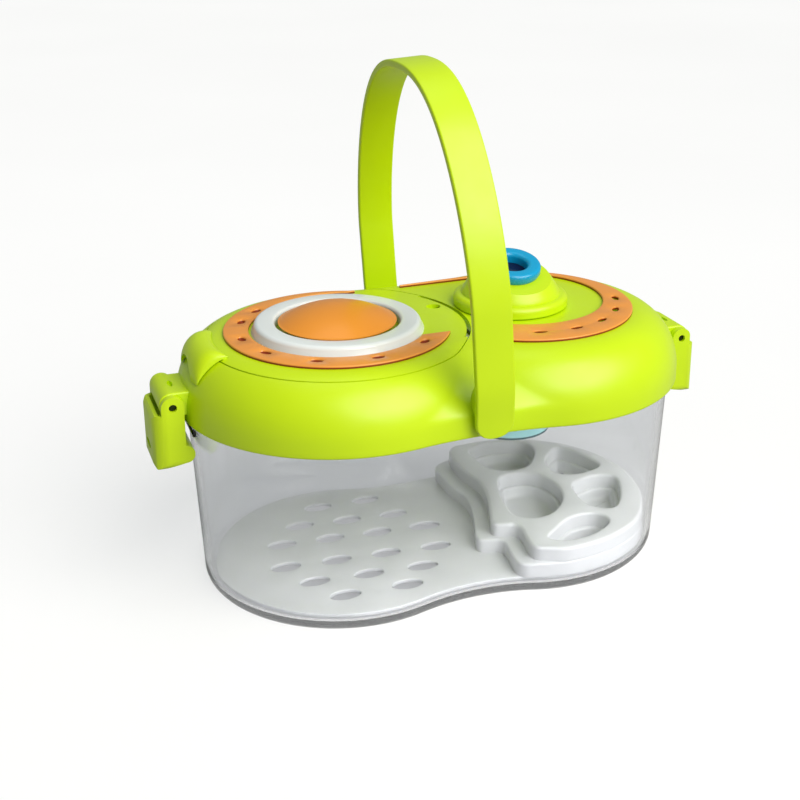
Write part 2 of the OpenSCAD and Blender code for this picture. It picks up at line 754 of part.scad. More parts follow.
module guide_screw_places() {
    for (turn = [30:120:270]) rotate(turn) translate([guide_screw_at, 0, 0]) children();
}
module hatch_plate() {
    color(lime) difference() {
        union() {
            intersection() {
                eight_stack(lid_rows(0, lid_z));
                at_hatch() translate([0, 0, hatch_z]) cylinder(r = hatch_r, h = shoulder_h);
            }
            at_hatch() lifting_tab();
        }
        // Wider gap beside the hinge
        at_hatch() translate([0, 0, hatch_z - cut]) intersection() {
            ring(hatch_r + cut, hatch_r - hinge_gap, shoulder_h);
            translate([0, -hinge_trim_half, 0]) cube([2 * hatch_r, 2 * hinge_trim_half, shoulder_h]);
        }
        at_hatch() translate([0, 0, hatch_z - cut]) cylinder(r = pocket_r, h = pocket_z - hatch_z + cut);
        at_hatch() translate([0, 0, hatch_z]) cylinder(r = plate_bore_r, h = shoulder_h);
        at_hatch() translate([0, 0, hatch_z]) guide_screw_places()
            cylinder(r = guide_screw_r + press_gap, h = shoulder_h);
        translate([hinge_x, 0, hinge_z]) along_y(-hinge_half, hinge_pin_r + run_fit, 2 * hinge_half);
        // Small oval recess in the deck beside the bezel
        at_hatch() translate([hatch_r * recess_out_share, hatch_r * recess_side_share, deck_z - recess_deep])
            linear_extrude(deck_t) oval(recess_l, recess_w);
    }
}
module dome_bezel() {
    top_z = deck_z + bezel_h;
    color("white") at_hatch() difference() {
        rotate_extrude() polygon([[bezel_bore_r, deck_z], [bezel_r, deck_z],
            [bezel_r - bezel_slope / 2, top_z - bezel_round], [bezel_r - bezel_slope, top_z - bezel_round / 3],
            [bezel_r - 2 * bezel_slope, top_z], [bezel_bore_r + bezel_round, top_z],
            [bezel_bore_r, top_z - bezel_round / 2]]);
        translate([0, 0, deck_z - cut]) guide_screw_places()
            cylinder(r = guide_screw_r + press_gap, h = cut + bezel_h * 3 / 4);
    }
}
module button_guide() {
    color("white") at_hatch() difference() {
        union() {
            translate([0, 0, guide_z - press_gap]) cylinder(r = guide_r, h = guide_t);
            translate([0, 0, cup_z]) cylinder(r = cup_r + cup_wall, h = guide_z - cup_z + guide_t / 2);
        }
        translate([0, 0, cup_z + cup_wall]) cylinder(r = cup_r, h = cup_h);
        translate([0, 0, cup_z - cut]) cylinder(r = stem_r + run_fit, h = cup_h);
        translate([0, 0, guide_z - cut]) guide_screw_places()
            cylinder(r = guide_screw_r + press_gap, h = guide_t + 2 * cut);
    }
}
module guide_screws() {
    color("silver") at_hatch() guide_screw_places() {
        translate([0, 0, guide_z - guide_screw_head_h - 2 * press_gap])
            cylinder(r = guide_screw_head_r, h = guide_screw_head_h);
        translate([0, 0, guide_z - guide_screw_head_h / 2])
            cylinder(r = guide_screw_r, h = guide_screw_head_h / 2 + guide_t + hatch_t + bezel_h * 2 / 3);
    }
}

// Dome button
module dome_button() {
    color(orange_dome) at_hatch() difference() {
        union() {
            difference() {
                intersection() {
                    translate([0, 0, dome_mid_z]) sphere(r = dome_sphere_r);
                    translate([0, 0, dome_z]) cylinder(r = 2 * dome_r, h = 2 * dome_h);
                }
                translate([0, 0, dome_mid_z]) sphere(r = dome_sphere_r - dome_wall);
            }
            translate([0, 0, stem_z]) cylinder(r = stem_r, h = dome_z + dome_h - dome_wall / 2 - stem_z);
        }
        translate([0, 0, stem_z + stem_tail - press_gap]) ring(stem_r + cut, stem_r - clip_groove,
            clip_t + 2 * press_gap);
    }
}
module button_clip() {
    color("silver") at_hatch() translate([0, 0, stem_z + stem_tail])
        ring(clip_r, stem_r - clip_groove + press_gap, clip_t);
}
module button_spring() {
    low = cup_z + cup_wall + press_gap;
    high = dome_mid_z + sqrt(pow(dome_sphere_r - dome_wall, 2) - spring_r * spring_r) - press_gap;
    color("silver") at_hatch() translate([0, 0, low]) ring(spring_r, spring_r - spring_wire, high - low);
}

// Viewer
module at_viewer() {
    translate([viewer_x, viewer_back, 0]) children();
}
module at_eye(up) {
    at_viewer() translate([0, 0, eye_seat_z]) rotate([eye_tilt, 0, 0]) translate([0, 0, up]) children();
}
module viewer_housing() {
    groove_r = hub_r - groove_deep;
    color(lime) difference() {
        at_viewer() rotate_extrude() polygon([[hub_bore_r, hub_z], [hub_r, hub_z],
            [hub_r, retainer_z - press_gap], [groove_r, retainer_z - press_gap],
            [groove_r, retainer_z + retainer_t + press_gap], [hub_r, retainer_z + retainer_t + press_gap],
            [hub_r, flange_z], [flange_r, flange_z], [flange_r, flange_top_z - flange_round],
            [flange_r - flange_round * 0.3, flange_top_z - flange_round * 0.3],
            [flange_r - flange_round, flange_top_z], [cone_r, flange_top_z],
            [cone_r, flange_top_z + cone_step], [cone_top_r, cone_top_z], [cone_bore_r, cone_top_z],
            [cone_bore_r, eye_seat_z - eye_h], [hub_bore_r, flange_top_z]]);
        at_eye(0) cylinder(r = 2 * eye_r, h = 2 * eye_h);
        at_eye(-eye_lens_t - press_gap) cylinder(r = eye_lens_r + press_gap, h = eye_h);
    }
}
module eyepiece_ring() {
    edge = eye_h / 7;
    color([0, 0.67, 0.88]) at_eye(press_gap) rotate_extrude() polygon([[eye_bore_r, 0],
        [eye_r - edge, 0], [eye_r - edge / 2, edge], [eye_r, eye_h - 2 * edge], [eye_r - edge, eye_h],
        [eye_bore_r + edge, eye_h], [eye_bore_r, eye_h - edge]]);
}
module eyepiece_lens() {
    color([0.1, 0.12, 0.3, 0.8]) at_eye(-eye_lens_t) cylinder(r = eye_lens_r, h = eye_lens_t);
}
module viewing_tube() {
    neck_r = hub_bore_r - press_gap;
    top_z = hub_z - press_gap;
    color([0.7, 0.92, 0.95, 0.6]) at_viewer() rotate_extrude() polygon([[tube_r - tube_wall, tube_z],
        [tube_r, tube_z], [tube_r, top_z], [neck_r, top_z], [neck_r, top_z + neck_h],
        [neck_r - tube_wall, top_z + neck_h], [neck_r - tube_wall, top_z - tube_wall],
        [tube_r - tube_wall, top_z - tube_wall]]);
}
module objective_lens() {
    edge_r = tube_r - press_gap;
    dish_r = lens_rim_r - rim_lip_w - lens_edge;
    low_z = tube_z - lens_edge;
    function sag(x) = lens_bulge * (1 - pow(x / dish_r, 2));
    bottom = [for (i = [0:lens_steps]) let (x = dish_r * i / lens_steps) [x, low_z - sag(x)]];
    top = [for (i = [lens_steps:-1:0]) let (x = dish_r * i / lens_steps)
        [x, tube_z - press_gap + sag(x)]];
    color([0.75, 0.95, 0.97, 0.5]) at_viewer() rotate_extrude()
        polygon(concat(bottom, [[edge_r, low_z], [edge_r, tube_z - press_gap]], top));
}
module lens_rim() {
    low_z = tube_z - lens_edge - lens_lip;
    seat_z = low_z + lens_lip - press_gap;
    color([0.02, 0.3, 0.32]) at_viewer() rotate_extrude() polygon([[lens_rim_r - rim_lip_w, low_z],
        [lens_rim_r, low_z], [lens_rim_r, tube_z + rim_lap], [tube_r + press_gap, tube_z + rim_lap],
        [tube_r + press_gap, seat_z], [lens_rim_r - rim_lip_w, seat_z]]);
}
module viewer_retainer() {
    mouth = 2 * retainer_t;
    color("silver") at_viewer() translate([0, 0, retainer_z]) difference() {
        ring(retainer_r, hub_r - groove_deep + press_gap, retainer_t);
        translate([0, -mouth / 2, -cut]) cube([2 * hub_r, mouth, retainer_t + 2 * cut]);
    }
}

// Handle: one side of the strap's outer line, from the foot up, then mirrored
function strap_side() = concat(
    [for (i = [0:ease_steps]) let (z = pivot_z - foot_drop + (foot_drop + ease_h) * i / ease_steps)
        [strap_half(z), z]],
    [for (i = [0:crown_steps]) let (t = 90 * i / crown_steps)
        [handle_half * pow(max(0, cos(t)), crown_round_share),
        pivot_z + crown_start + crown_h * pow(sin(t), crown_lift_share)]]);
function strap_line() = let (side = strap_side(), n = len(side))
    concat(side, [for (i = [n - 2:-1:0]) [-side[i][0], side[i][1]]]);
function inward(line, i) = let (
        a = line[max(0, i - 1)],
        b = line[min(len(line) - 1, i + 1)],
        n = [a[1] - b[1], b[0] - a[0]])
    n / norm(n);
module strap() {
    line = strap_line();
    n = len(line);
    inner = [for (i = [n - 1:-1:0]) line[i] + strap_t * inward(line, i)];
    rotate([90, 0, 90]) linear_extrude(strap_w, center = true) polygon(concat(line, inner));
}
module strap_front() {
    low = pivot_z - foot_drop;
    translate([0, low + crown_h]) square([strap_w, 2 * (crown_h - foot_corner)], center = true);
    translate([0, low + 2 * crown_h]) square([strap_w, 2 * crown_h], center = true);
    square_w = strap_w - 2 * foot_corner;
    translate([0, low + crown_h]) square([square_w, 2 * crown_h], center = true);
    for (x = [-1, 1]) translate([x * square_w / 2, low + foot_corner]) circle(r = foot_corner);
}
module carry_handle() {
    tip = waist_half - stud_tip;
    color(lime) translate([0, 0, pivot_z]) rotate([0, -handle_lean, 0]) translate([0, 0, -pivot_z]) {
        intersection() {
            strap();
            rotate([90, 0, 0]) linear_extrude(3 * handle_half, center = true) strap_front();
        }
        for (side = [-1, 1]) translate([0, side * tip, pivot_z]) rotate([-90 * side, 0, 0])
            cylinder(r = stud_r, h = strap_half(pivot_z) - strap_t / 2 - tip);
    }
}

// Latches, drawn for the right end with the pin at the origin
module cheek_profile() {
    top = knuckle_r * 0.68;
    difference() {
        union() {
            circle(r = knuckle_r);
            polygon([[-cheek_in, 0], [top, top], [plate_in + plate_t, -plate_drop - plate_bevel],
                [plate_in + plate_t, lever_corner / 2 - lever_drop], [plate_in, -lever_drop],
                [-cheek_in + lever_corner, -nose_z - nose_h], [-cheek_in, -nose_z - nose_h / 2]]);
        }
        circle(r = latch_pin_r + run_fit);
    }
}
module nose_profile() {
    nose_in = nose_round - nose_reach;
    translate([nose_in, -nose_z - nose_round]) circle(r = nose_round);
    translate([nose_in, -nose_z - nose_h]) square([plate_in + plate_t / 2 - nose_in, nose_h]);
}
module plate_profile() {
    polygon([[plate_in, -plate_drop], [plate_in + plate_t / 2, -plate_drop],
        [plate_in + plate_t, -plate_drop - plate_bevel], [plate_in + plate_t, lever_corner / 2 - lever_drop],
        [plate_in, -lever_drop]]);
}
module lever_side(w) {
    rotate([90, 0, 0]) linear_extrude(w, center = true) children();
}
module lever_front() {
    half = lever_half;
    translate([0, knuckle_r]) square([2 * half, 2 * (lever_drop + knuckle_r - lever_corner)], center = true);
    square([2 * (half - lever_corner), 2 * lever_drop], center = true);
    for (side = [-1, 1]) translate([side * (half - lever_corner), lever_corner - lever_drop])
        circle(r = lever_corner);
}
module lever() {
    difference() {
        intersection() {
            union() {
                for (side = [-1, 1]) translate([0, side * (lever_half - cheek_t / 2), 0])
                    lever_side(cheek_t) cheek_profile();
                lever_side(2 * lever_half) nose_profile();
                lever_side(2 * lever_half) plate_profile();
            }
            rotate([90, 0, 90]) linear_extrude(4 * lug_r, center = true) lever_front();
        }
        // Fingernail recess in the outer face
        translate([plate_in + plate_t - nail_deep, 0, -nail_z]) rotate([90, 0, 90])
            linear_extrude(lug_r) long_slot(nail_l, nail_h);
    }
}
module latch_lever_right() {
    color(lime) translate([latch_x, 0, latch_z]) lever();
}
module latch_lever_left() {
    color(lime) mirror([1, 0, 0]) translate([latch_x, 0, latch_z]) lever();
}

clear_tub();
floor_tray();
cell_tray_lower();
cell_tray_upper();
lid_shell();
vent_crescent_right();
hatch_hinge_pin();
latch_pin_left();
latch_pin_right();
hatch_plate();
vent_crescent_left();
dome_bezel();
button_guide();
guide_screws();
dome_button();
button_clip();
button_spring();
viewer_housing();
eyepiece_ring();
eyepiece_lens();
viewing_tube();
objective_lens();
lens_rim();
viewer_retainer();
carry_handle();
latch_lever_left();
latch_lever_right();
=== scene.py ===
"""Two-lobed bug catcher jar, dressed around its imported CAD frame.

Every length below is in millimetres and turns into metres where a vertex is placed.
+X runs along the two lobes, +Y is the back, +Z is up, and the foot stands on z = 0.
"""
from math import acos, asin, atan2, cos, degrees, hypot, pi, radians, sin, sqrt, tau

import bmesh
import bpy
from mathutils import Matrix, Vector


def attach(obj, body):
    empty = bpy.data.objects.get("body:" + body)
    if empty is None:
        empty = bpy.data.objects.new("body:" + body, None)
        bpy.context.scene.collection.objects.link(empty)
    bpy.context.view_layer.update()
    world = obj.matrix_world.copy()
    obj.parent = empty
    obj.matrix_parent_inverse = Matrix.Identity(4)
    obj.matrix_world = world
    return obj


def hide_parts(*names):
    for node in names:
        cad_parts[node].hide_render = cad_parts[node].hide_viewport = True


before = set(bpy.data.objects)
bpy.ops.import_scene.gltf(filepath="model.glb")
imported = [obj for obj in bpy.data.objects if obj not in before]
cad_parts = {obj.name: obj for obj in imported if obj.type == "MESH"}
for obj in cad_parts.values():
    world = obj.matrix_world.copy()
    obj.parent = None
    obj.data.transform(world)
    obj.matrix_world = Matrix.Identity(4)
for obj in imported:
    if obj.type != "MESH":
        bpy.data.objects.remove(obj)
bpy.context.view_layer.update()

MM = 0.001
MIRROR = Matrix.Scale(-1, 4, (1, 0, 0))

# Lobes, tub and lid, as in the CAD model
LOBE_X = 33.0
LOBE_STEPS = 72
WAIST_STEPS = 22
TUB_H = 68.0
TUB_WALL = 2.0
TUB_FLOOR = 3.0
FOOT_R = 47.0
RIM_R = 50.0
FOOT_ROUND = 4.0
FOOT_WAIST_IN = 5.0
RIM_WAIST_IN = 3.5
LID_R = 52.5
LID_Z = 62.0
LID_WALL = 1.8
DECK_T = 2.0
SHOULDER_Z = 66.0
SHOULDER_H = 18.4
SHOULDER_IN = 16.0
LID_WAIST_IN = 3.0
VALLEY_IN = 13.0
VALLEY_START = 0.2
BACK_GAIN = 0.1
DECK_Z = SHOULDER_Z + SHOULDER_H
UNDER_DECK_Z = DECK_Z - DECK_T
LID_END_X = LOBE_X + LID_R
WAIST_HALF = LID_R - LID_WAIST_IN
STOP_R = RIM_R - 2.6
STOP_Z = 68.3
STOP_TOP_Z = 70.0
RIB_IN_X = 81.2
RIB_OUT_X = 83.12
RIB_HALF = 7.0
RIB_Z = 56.5
RIB_TOP_Z = 58.5
EDGE = 0.6

# How far cutters overshoot, and how near points are joined
CUT = 2.0
SEAM = 0.002
MEND = 0.004

# Hatch
HATCH_X = -LOBE_X
HATCH_R = 42.8
PORT_R = 43.2
HATCH_Z = DECK_Z - 4.1
LEDGE_Z = HATCH_Z - 0.3
LEDGE_T = 1.8
LEDGE_W = 3.7
COLLAR_T = 1.6
POCKET_R = 38.0
POCKET_Z = DECK_Z - 2.2
HINGE_IN = 3.7
HINGE_X = HATCH_X + PORT_R - HINGE_IN
HINGE_Z = DECK_Z - 1.2
HINGE_HALF = 20.7
HINGE_GAP = 1.0
HINGE_TRIM_HALF = 22.1
HINGE_SEAT = 5.0
PIN_R = 0.6
PIN_FIT = 0.06
PLATE_BORE_R = 8.5
RECESS = (5.0, 4.6)
RECESS_DEEP = 1.9

# Trims, bezel and dome
TRIM_R = 36.8
TRIM_H = 1.0
TRIM_ROUND = 0.35
BEZEL_R = 28.0
BEZEL_BORE_R = 20.2
BEZEL_H = 3.4
DOME_R = 19.3
DOME_Z = DECK_Z + 2.7
DOME_H = 5.6
DOME_WALL = 1.6
STEM_R = 4.0
STEM_Z = 73.4
CLIP_Z = 74.8
CLIP_T = 1.0
CLIP_DEEP = 0.8
DIMPLE = (4.4, 2.7)
VENT = (4.8, 2.3)
VENT_CUT = (6.0, 3.4)

# Viewer
VIEWER_X = 30.0
VIEWER_Y = 4.5
HUB_R = 14.9
HUB_Z = 78.6
HUB_WALL = 1.6
FLANGE_R = 19.5
FLANGE_Z = DECK_Z + 0.3
FLANGE_T = 3.8
CONE_R = 16.8
CONE_H = 9.0
EYE_R = 10.0
EYE_BORE_R = 5.2
EYE_H = 3.5
EYE_TILT = 15.0
EYE_SEAT_R = 6.32
EYE_SEAT_DEEP = 1.42
RIM_LOW_Z = 39.6
EYE_SEAT_Z = FLANGE_Z + FLANGE_T + 0.4 + CONE_H - 2.0

# Handle
PIVOT_Z = 71.0
STRAP_W = 12.5
STRAP_T = 2.3
STRAP_CORNER = 0.7
HANDLE_HALF = 55.0
FOOT_HALF = 53.0
FOOT_DROP = 8.5
FOOT_CORNER = 5.0
EASE_H = 10.0
CROWN_START = 32.0
CROWN_H = 66.5
CROWN_ROUND = 0.82
CROWN_LIFT = 1.29
STRAP_MID_Z = 90.0
HANDLE_LEAN = 3.5
STUD_R = 2.5
STUD_FIT = 0.06
BOSS_R = 5.5
BOSS_FACE = 50.5

# Latches
LATCH_OUT = 3.8
LATCH_X = LID_END_X + LATCH_OUT
LATCH_Z = 69.0
LUG_W = 17.3
LUG_R = 3.9
CHEEK_T = 2.25
CHEEK_GAP = 0.35
KNUCKLE_R = 3.6
PLATE_T = 2.2
PLATE_ROUND = 5.0
LEVER_DROP = 21.0
LUG_BORE_R = 1.22
LEVER_BORE_R = 1.26
NOSE_H = 6.0
NOSE_Z = 13.0

# Trays
FLOOR_TRAY_R = 43.4
FLOOR_TRAY_Z = TUB_FLOOR + 0.9
FLOOR_TOP_Z = 5.2
CELL_H = 5.0
CELL_MID_Z = FLOOR_TOP_Z + CELL_H
CELL_TOP_Z = CELL_MID_Z + CELL_H
CELL_R = 44.2


# ---- outlines

def quarter(steps):
    """Angles over a quarter turn, both ends with them."""
    return [pi / 2 * i / steps for i in range(steps + 1)]


def turns(first, last, step):
    """Angles in radians from first to last, in whole degrees."""
    return [radians(t) for t in range(first, last + 1, step)]


def arc(x, y, r, start, end, steps):
    """Points of an arc without its last one; angles in radians."""
    spread = [start + (end - start) * i / steps for i in range(steps)]
    return [(x + r * cos(t), y + r * sin(t)) for t in spread]


def circle(x, y, r, steps=144):
    """Points of a circle."""
    return arc(x, y, r, 0, tau, steps)


def polar(x, places):
    """Points at (radius, degrees) round the axis at x."""
    return [(x + r * cos(radians(t)), r * sin(radians(t))) for r, t in places]


def waist_round(r, half):
    """Radius of the fillet that joins two lobes of radius r at a waist half as wide as half."""
    return (LOBE_X * LOBE_X + half * half - r * r) / (2 * (r - half))


def eight(r, front, back):
    """Outline of the two lobes and their waists, counter-clockwise."""
    front_r, back_r = waist_round(r, front), waist_round(r, back)
    front_turn = atan2(front + front_r, -LOBE_X)
    back_turn = atan2(back + back_r, -LOBE_X)
    return (arc(LOBE_X, 0, r, -front_turn, back_turn, LOBE_STEPS)
            + arc(0, back + back_r, back_r, back_turn - pi, -back_turn, WAIST_STEPS)
            + arc(-LOBE_X, 0, r, pi - back_turn, pi + front_turn, LOBE_STEPS)
            + arc(0, -front - front_r, front_r, front_turn, pi - front_turn, WAIST_STEPS))


def oval(x, y, long, wide, turn=0.0, steps=24):
    """An ellipse, its long axis turned by turn radians."""
    points = [(long / 2 * cos(t), wide / 2 * sin(t)) for t in (tau * i / steps for i in range(steps))]
    c, s = cos(turn), sin(turn)
    return [(x + u * c - v * s, y + u * s + v * c) for u, v in points]


def rounded(corners, reach, steps=5):
    """A closed outline through corners, each cut by a curve that starts reach before it."""
    out = []
    for i in range(len(corners)):
        before, corner, after = (Vector(corners[(i + k) % len(corners)]) for k in (-1, 0, 1))
        a = corner + (before - corner).normalized() * reach
        b = corner + (after - corner).normalized() * reach
        for t in (k / steps for k in range(steps + 1)):
            out.append(tuple(a * (1 - t) ** 2 + corner * 2 * t * (1 - t) + b * t * t))
    return out


def spline(points, steps=5):
    """A smooth closed line through points."""
    out = []
    count = len(points)
    for i in range(count):
        a, b, c, d = (Vector(points[(i + k) % count]) for k in (-1, 0, 1, 2))
        for k in range(steps):
            t = k / steps
            out.append(tuple(0.5 * (2 * b + (c - a) * t + (2 * a - 5 * b + 4 * c - d) * t * t
                                    + (3 * b - a - 3 * c + d) * t ** 3)))
    return out


def counter_clockwise(loop):
    """The loop, turned round if it runs clockwise."""
    area = sum(ax * by - bx * ay for (ax, ay), (bx, by) in zip(loop, loop[1:] + loop[:1]))
    return loop if area > 0 else loop[::-1]


def inset(loop, by):
    """A counter-clockwise loop moved inwards by a distance."""
    out = []
    for i, (x, y) in enumerate(loop):
        (x0, y0), (x1, y1) = loop[i - 1], loop[(i + 1) % len(loop)]
        size = hypot(x1 - x0, y1 - y0) or 1
        out.append((x - (y1 - y0) / size * by, y + (x1 - x0) / size * by))
    return out


def flat(loop, z):
    """The loop at height z."""
    return [(x, y, z) for x, y in loop]


# ---- modelling

def pick(piece):
    """Selects one piece alone."""
    if bpy.context.object and bpy.context.object.mode != "OBJECT":
        bpy.ops.object.mode_set(mode="OBJECT")
    bpy.ops.object.select_all(action="DESELECT")
    piece.select_set(True)
    bpy.context.view_layer.objects.active = piece


def new_piece(name):
    """An empty mesh, open for editing."""
    bpy.ops.object.select_all(action="DESELECT")
    bpy.ops.object.add(type="MESH", enter_editmode=False, location=(0, 0, 0))
    piece = bpy.context.object
    piece.name = name
    bpy.ops.object.mode_set(mode="EDIT")
    bpy.ops.mesh.select_mode(type="VERT")
    return piece


def edited(piece):
    """The mesh of a piece that is open for editing, its vertices ready to be counted off."""
    mesh = bmesh.from_edit_mesh(piece.data)
    mesh.verts.ensure_lookup_table()
    return mesh


def select_verts(piece, *ranges):
    """Selects the vertices of these index ranges alone."""
    bpy.ops.mesh.select_all(action="DESELECT")
    mesh = edited(piece)
    for low, high in ranges:
        for i in range(low, high):
            mesh.verts[i].select = True
    mesh.select_flush_mode()
    bmesh.update_edit_mesh(piece.data)


def lay(piece, low, ring):
    """Puts the vertices from index low on a ring of points."""
    mesh = edited(piece)
    order = mesh.verts.layers.int["order"]
    for vert in mesh.verts[low:low + len(ring)]:
        vert.co = Vector(ring[vert[order]]) * MM
    bmesh.update_edit_mesh(piece.data)


def skin(piece, rings, first="open", last="open", loop=False):
    """Adds a circle on the first ring and extrudes it through the others.

    Returns the index ranges of its first and its last vertices."""
    count = len(rings[0])
    mesh = edited(piece)
    if "order" not in mesh.verts.layers.int:
        mesh.verts.layers.int.new("order")
    base = len(mesh.verts)
    bpy.ops.mesh.select_all(action="DESELECT")
    bpy.ops.mesh.primitive_circle_add(vertices=count, radius=1, fill_type="NOTHING")
    mesh = edited(piece)
    order = mesh.verts.layers.int["order"]
    for i in range(count):
        mesh.verts[base + i][order] = i
    lay(piece, base, rings[0])
    for k, ring in enumerate(rings[1:], 1):
        bpy.ops.mesh.extrude_region_move()
        lay(piece, base + k * count, ring)
    start, end = (base, base + count), (base + (len(rings) - 1) * count, base + len(rings) * count)
    if loop:
        select_verts(piece, start, end)
        bpy.ops.mesh.bridge_edge_loops()
    for side, kind in ((end, last), (start, first)):
        if kind == "cap":
            select_verts(piece, side)
            bpy.ops.mesh.edge_face_add()
    return start, end


def close(piece, smooth=32):
    """Closes seams and poles, turns the faces outwards and ends the editing."""
    bpy.ops.mesh.select_all(action="SELECT")
    bpy.ops.mesh.remove_doubles(threshold=SEAM * MM)
    bpy.ops.mesh.normals_make_consistent(inside=False)
    bpy.ops.object.mode_set(mode="OBJECT")
    if "order" in piece.data.attributes:
        piece.data.attributes.remove(piece.data.attributes["order"])
    shade(piece, smooth)
    return piece


def shade(piece, angle=32):
    """Smooth shading that breaks at edges sharper than angle degrees."""
    pick(piece)
    bpy.ops.object.shade_smooth_by_angle(angle=radians(angle))


def lofted(name, rings, smooth=32):
    """A closed solid through rings of points, capped at both ends."""
    piece = new_piece(name)
    skin(piece, rings, first="cap", last="cap")
    return close(piece, smooth)


def turned(name, profile, x, y=0.0, steps=96, loop=True):
    """A solid of revolution: a profile of (radius, z) spun about the upright axis at x, y.

    Without loop, the profile runs from the axis to the axis and isn't closed."""
    piece = new_piece(name)
    skin(piece, [[(x + r, y, z) for r, z in profile]])
    if not loop:
        mesh = edited(piece)
        mesh.edges.remove(mesh.edges.get((mesh.verts[0], mesh.verts[len(profile) - 1])))
        bmesh.update_edit_mesh(piece.data)
    bpy.ops.mesh.select_all(action="SELECT")
    bpy.ops.mesh.spin(steps=steps, angle=tau, center=(x * MM, y * MM, 0), axis=(0, 0, 1))
    return close(piece)


def looped(name, rings):
    """A closed solid through rings of points, the last joined to the first."""
    piece = new_piece(name)
    skin(piece, rings, loop=True)
    return close(piece)


def filled(name, stacks, last="open", smooth=40):
    """A solid from stacks of rings: its outside first, then its holes, or its hollows if last is cap."""
    piece = new_piece(name)
    ends = [skin(piece, rings, last=last) for rings in stacks]
    for level in range(1 if last == "cap" else 2):
        select_verts(piece, *(pair[level] for pair in ends))
        bpy.ops.mesh.fill(use_beauty=True)
    return close(piece, smooth)


def plate(name, outer, holes, levels, hole_levels=None, smooth=40):
    """A flat piece with holes, its edges going through levels of (inset, z) from the top down."""
    stacks = [[flat(inset(outer, by), z) for by, z in levels]]
    stacks += [[flat(inset(hole, -by), z) for by, z in hole_levels or levels] for hole in holes]
    return filled(name, stacks, smooth=smooth)


def soft_edge(r, top, low, steps=3):
    """Levels of a plate with a rounded upper edge."""
    return [(r * (1 - sin(t)), top - r * (1 - cos(t))) for t in quarter(steps)] + [(0, low)]


def two_soft_edges(r, top, low, steps=3):
    """Levels of a plate rounded above and below."""
    upper = soft_edge(r, top, low, steps)[:-1]
    return upper + [(by, low + top - z) for by, z in reversed(upper)]


def rolled(r, top, size):
    """A quarter round of a turned profile, from its outer side to its top."""
    return [(r - size * (1 - cos(t)), top - size + size * sin(t)) for t in quarter(6)]


def rolled_in(r, top, size):
    """A quarter round of a turned profile, from its top into its bore."""
    return [(r + size - size * sin(t), top - size + size * cos(t)) for t in quarter(5)]


def boolean(piece, tool, kind="DIFFERENCE"):
    """Cuts tool out of piece, joins it or keeps what they share. The tool is used up."""
    pick(piece)
    change = piece.modifiers.new("shape", "BOOLEAN")
    change.operation = kind
    change.object = tool
    change.solver = "EXACT"
    bpy.ops.object.modifier_apply(modifier=change.name)
    bpy.data.objects.remove(tool, do_unlink=True)
    return piece


def soften(piece, width, angle=40, segments=3):
    """Rounds the sharp edges."""
    pick(piece)
    change = piece.modifiers.new("edges", "BEVEL")
    change.width = width * MM
    change.segments = segments
    change.limit_method = "ANGLE"
    change.angle_limit = radians(angle)
    change.use_clamp_overlap = True
    bpy.ops.object.modifier_apply(modifier=change.name)
    shade(piece, 40)
    return piece


def turn_outwards(piece, merge=0.0):
    """Turns the faces outwards, after joining the doubled points that cuts can leave."""
    pick(piece)
    bpy.ops.object.mode_set(mode="EDIT")
    bpy.ops.mesh.select_all(action="SELECT")
    if merge:
        bpy.ops.mesh.remove_doubles(threshold=merge * MM)
        bpy.ops.mesh.dissolve_degenerate(threshold=merge * MM)
    bpy.ops.mesh.normals_make_consistent(inside=False)
    bpy.ops.object.mode_set(mode="OBJECT")


def rod(name, start, end, r, steps=48):
    """A round bar from one point to another."""
    a, b = Vector(start), Vector(end)
    along = (b - a).normalized()
    side = along.orthogonal().normalized()
    up = along.cross(side)
    spokes = [side * cos(t) * r + up * sin(t) * r for t in (tau * i / steps for i in range(steps))]
    return lofted(name, [[tuple(end + spoke) for spoke in spokes] for end in (a, b)])


def block(name, low, high):
    """A plain box, used to cut or to start a form."""
    bpy.ops.object.select_all(action="DESELECT")
    a, b = Vector(low), Vector(high)
    bpy.ops.mesh.primitive_cube_add(size=1, location=(a + b) / 2 * MM)
    piece = bpy.context.object
    piece.name = name
    piece.scale = (b - a) * MM
    bpy.ops.object.transform_apply(location=True, rotation=True, scale=True)
    return piece


def side_prism(name, outline, low_y, high_y):
    """A prism whose outline lies in the X-Z plane."""
    return lofted(name, [[(x, y, z) for x, z in outline] for y in (low_y, high_y)], smooth=25)


def along_x(name, loop, start, end):
    """A prism over a loop of (y, z), used as a cutter."""
    return lofted(name, [[(x, y, z) for y, z in loop] for x in (start, end)])


def upright(name, loop, low, high):
    """A prism over a loop, used as a cutter."""
    return lofted(name, [flat(loop, low), flat(loop, high)])


def move(piece, matrix):
    """Moves the piece's mesh, so that its object stays at the origin."""
    piece.data.transform(matrix)
    piece.data.update()
    return piece


# ---- materials

def new_material(name):
    """A material with its node tree and its shader."""
    material = bpy.data.materials.new(name)
    material.use_nodes = True
    return material, material.node_tree, material.node_tree.nodes["Principled BSDF"]


def plug(tree, socket, value):
    """Links an input to an output or gives it a value, a colour with its alpha."""
    if isinstance(value, bpy.types.NodeSocket):
        tree.links.new(value, socket)
    else:
        socket.default_value = (*value, 1) if isinstance(value, tuple) else value


def feed(tree, node, **inputs):
    """Plugs a node's inputs, an underscore standing for a space in their names."""
    for name, value in inputs.items():
        plug(tree, node.inputs[name.replace("_", " ")], value)
    return node


def add(tree, kind, **inputs):
    """A new node with its inputs."""
    return feed(tree, tree.nodes.new(kind), **inputs)


def noise(tree, scale, detail=3.0, rough=0.5):
    """A noise pattern in the piece's own place, scale in bumps per metre."""
    place = add(tree, "ShaderNodeTexCoord").outputs["Object"]
    pattern = add(tree, "ShaderNodeTexNoise", Scale=scale, Detail=detail, Roughness=rough, Vector=place)
    return pattern.outputs["Fac"]


